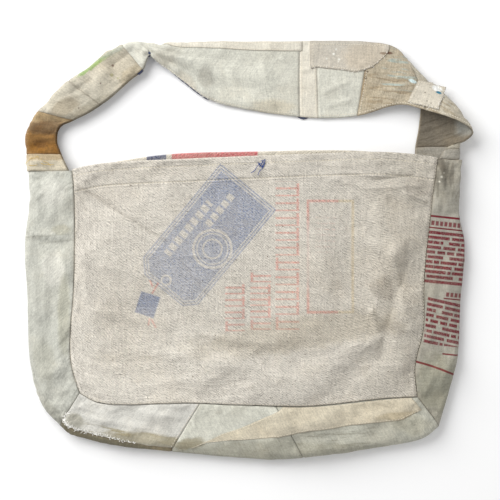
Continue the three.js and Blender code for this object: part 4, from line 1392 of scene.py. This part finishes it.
def tab_surface(u, t):
    """The tab lies over the strap and stands past its edge at one corner."""
    a, b = ((u + 1) / 2)[..., None], t[..., None]
    p00, p01, p10, p11 = TAB_CORNERS
    flat = (p00 * (1 - b) + p01 * b) * (1 - a) + (p10 * (1 - b) + p11 * b) * a
    height = locate(turn_of_strap, flat.reshape(-1, 2))[2].reshape(u.shape)
    return np.concatenate([flat, height[..., None]], axis=-1)


def tab_relief(s):
    return 0.4 * noise(s["x"], s["y"], 9, 58)


tab = Sheet("strap_tab_patch_cloth", tab_surface, (-1, 1), (0, 1), *TAB_PLY, tab_relief, pitch=1.5)
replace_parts(dress(tab.object, TAB, "beige_cotton"), "strap_tab_patch")
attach(tab.object, "strap")

# ------------------------------------------------------------------ sewing


def row_on(sheet, u0, t0, u1, t1, count=160):
    """A path over a sheet between two places given as shares across and along it."""
    share = np.linspace(0, 1, count)
    return sheet.on(u0 + (u1 - u0) * share, t0 + (t1 - t0) * share)


def sew(name, rows, node=None, body=None, **how):
    """Pale stitches along some paths, in place of a CAD thread where there is one."""
    threads = dress(stitches(name, rows, **how), PALE_THREAD, "pale_thread")
    if node:
        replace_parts(threads, node)
    if body:
        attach(threads, body)
    return threads


MOUTH_ROW = int(np.searchsorted(ROWS, 1))


def row_below_mouth(sheet, surface, distance, count=300):
    """A path over a panel that keeps its distance in mm from the mouth."""
    across = np.linspace(0.01, 0.99, count)
    from_mouth = mouth_distance(surface, sheet.s)[:, :MOUTH_ROW + 1]
    columns = np.round(across * (len(from_mouth) - 1)).astype(int)
    rows = [np.interp(distance, from_mouth[i, ::-1], np.arange(MOUTH_ROW, -1, -1)) for i in columns]
    return sheet.on(across, np.array(rows) / (len(ROWS) - 1))


hem_rows = [row_below_mouth(front, front_surface, d) for d in (HEM_LINE, MOUTH_LINE)]
sew("front_hem_stitches", hem_rows, node="front_hem_thread", body="front_side", radius=0.5, seed=61)
hem_rows = [row_below_mouth(back, back_surface, HEM_LINE)]
sew("back_hem_stitches", hem_rows, node="back_hem_thread", body="back_side", seed=63)

mouth_share = MOUTH_ROW / (len(ROWS) - 1)
SEAM_PATHS = {
    "left": (0.004, 0.01, 0.004, mouth_share),
    "bottom": (0.01, 0.006, 0.99, 0.006),
    "right": (0.996, 0.01, 0.996, mouth_share),
}
for panel_name, sheet in (("front", front), ("back", back)):
    for side, path in SEAM_PATHS.items():
        name = f"{panel_name}_{side}_seam"
        sew(name + "_stitches", [row_on(sheet, *path, 400)], node=name + "_thread", body=panel_name + "_side",
            radius=0.38, length=2.2, seed=62)

band_rows = [
    row_on(left_front, 0.02, 0.012, 0.99, 0.012),
    row_on(patch, 0.94, 0.05, 0.94, 0.99, 400),
    row_on(patch, 0.06, 0.03, 0.06, 0.97, 400),
]
open_with_front(sew("band_stitches", band_rows, radius=0.36, length=2.3, seed=64))

binding, top_patch = sheets["strap_binding"], sheets["strap_top_patch"]
white, tan, curve, middle = (sheets[f"strap_{k}_piece"] for k in ("white", "tan", "curve", "middle"))
join_band = sheets["strap_join_band"]
STRAP_SEWING = {"radius": 0.45, "length": 2.2, "pitch": 3.3}
strap_rows = [row_on(*path) for path in [
    (binding, 0.88, 0.01, 0.88, 0.99, 300),
    (binding, 0.14, 0.01, 0.14, 0.99, 300),
    (top_patch, 0.12, 0.02, 0.12, 0.98, 200),
    (top_patch, 0.93, 0.02, 0.93, 0.98, 200),
    (top_patch, 0.1, 0.03, 0.95, 0.03, 60),
    (join_band, 0.02, 0.12, 0.98, 0.12),
    (join_band, 0.3, 0.88, 0.98, 0.88),
    (tan, 0.02, 0.03, 0.98, 0.03),
    (white, 0.965, 0.02, 0.965, 0.98),
    (tan, 0.965, 0.02, 0.965, 0.98),
    (middle, 0.965, 0.34, 0.965, 0.99, 300),
    (tab, 0.08, 0.05, 0.08, 0.95, 60),
    (tab, 0.1, 0.92, 0.9, 0.92, 60),
    (tab, 0.1, 0.06, 0.92, 0.06, 60),
]]
sew("strap_stitches", strap_rows, body="strap", seed=65, **STRAP_SEWING)
curve_rows = [row_on(curve, 0.955, 0.02, 0.955, 0.98, 200), row_on(curve, 0.045, 0.3, 0.045, 0.98, 200)]
ride_strap(sew("strap_right_stitches", curve_rows, seed=66, **STRAP_SEWING), 18, 22)


def frays(rng, sheet, path, count, length):
    """Short loose ends of thread that curl away from a worn edge."""
    start, out = row_on(sheet, *path, count)
    curls = []
    for at, normal in zip(start, out):
        step = rng.normal(0, 1, 3)
        step -= normal * step.dot(normal)
        step *= length * rng.uniform(0.4, 1) / max(np.linalg.norm(step), 1e-6) / 3
        curl = np.array([at + normal * (0.3 + 0.4 * k * (3 - k) / 2) + step * k for k in range(4)])
        curls.append(curl + rng.normal(0, length * 0.06, curl.shape))
    return curls


rng = np.random.default_rng(5)
fray_paths = frays(rng, left_front, (0.02, 0.98, 0.02, 0.2), 110, 4)
fray_paths += frays(rng, left_front, (0.02, 0.99, 0.3, 0.99), 10, 5)
open_with_front(dress(tubes("band_frays", fray_paths, 0.34, 5), WHITE_THREAD, "pale_thread"))
fray_paths = frays(rng, middle, (0.99, 0.3, 0.99, 0.75), 26, 4)
fray_paths += frays(rng, tab, (0.98, 0.1, 0.98, 0.95), 12, 4)
fray_paths += frays(rng, tab, (0.1, 0.02, 0.9, 0.02), 10, 4)
fray_paths += frays(rng, top_patch, (0.98, 0.05, 0.98, 0.95), 16, 3.5)
strap_frays = dress(tubes("strap_frays", fray_paths, 0.22, 5), WHITE_THREAD, "pale_thread")
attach(strap_frays, "strap")

knot_at = np.array([14.0, 149.0, LOFT + 1.4])
loops = [knot_at + np.column_stack([rng.uniform(-5, 5, 6), rng.uniform(-4, 5, 6), rng.uniform(0, 1.0, 6)])
         for _ in range(2)]
loops.append(knot_at + np.array([(0, 0, 0.8), (5, 6, 0.9), (3, -3, 0.7), (-2, -9, 0.4), (-4, -14, 0.1)]))
loops.append(knot_at + np.array([(-1, 1, 0.8), (-5, -3, 0.8), (-8, -8, 0.5), (-13, -11, 0.1)]))
knot = tubes("blue_knot", loops, 0.42)
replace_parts(dress(knot, BLUE_THREAD, "blue_thread"), "blue_thread_knot")
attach(knot, "front_side")
yellow_at = np.array([-266.0, 152.0, 19.2])
ends = [yellow_at + np.column_stack([np.linspace(-15, 13, 7) + rng.uniform(-5, 5, 7), rng.uniform(-7, 7, 7),
                                     rng.uniform(-0.4, 0.9, 7)]) for _ in range(2)]
yellow = tubes("yellow_ends", ends, 0.28)
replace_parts(dress(yellow, YELLOW_THREAD, "yellow_thread"), "yellow_thread_end")
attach(yellow, "gusset_band")

# ------------------------------------------------------------------ floor, light and camera


FLOOR_REACH, FLOOR_DROP = 4, 0.001


def floor():
    mesh = bpy.data.meshes.new("floor")
    corners = [(-1, -1), (1, -1), (1, 1), (-1, 1)]
    points = [(x * FLOOR_REACH, y * FLOOR_REACH, -FLOOR_DROP) for x, y in corners]
    mesh.from_pydata(points, [], [(0, 1, 2, 3)])
    obj = new_object("floor", mesh)
    material = bpy.data.materials.new("floor")
    material.use_nodes = True
    shader = material.node_tree.nodes["Principled BSDF"]
    shader.inputs["Base Color"].default_value = (0.95, 0.95, 0.95, 1)
    shader.inputs["Roughness"].default_value = 0.9
    mesh.materials.append(material)


def area_light(name, position, size, power):
    """A square light that shines at the origin, in metres and watts."""
    light = bpy.data.lights.new(name, "AREA")
    light.shape, light.size, light.energy = "SQUARE", size, power
    obj = new_object(name, light)
    obj.location = position
    obj.rotation_euler = (-obj.location).to_track_quat("-Z", "Y").to_euler()


floor()
world = bpy.data.worlds.new("studio")
world.use_nodes = True
background = world.node_tree.nodes["Background"]
background.inputs["Color"].default_value = (1, 1, 1, 1)
background.inputs["Strength"].default_value = 0.5
bpy.context.scene.world = world
bpy.context.scene.view_settings.view_transform = "Standard"
area_light("key", (-1.3, 1.3, 1.3), 1.9, 63)
area_light("fill", (1.2, -0.8, 1.6), 1.6, 5)

# The camera looks straight down, and its picture is VIEW_WIDTH wide at the height of the cloth.
VIEW_WIDTH, VIEW_CENTRE_Y, CLOTH_HEIGHT = 635, 40.3225, 16
camera = new_object("camera", bpy.data.cameras.new("camera"))
camera.data.lens, camera.data.sensor_width = 100, 36
distance = VIEW_WIDTH * camera.data.lens / camera.data.sensor_width
camera.location = (0, VIEW_CENTRE_Y * MM, (distance + CLOTH_HEIGHT) * MM)
bpy.context.scene.camera = camera
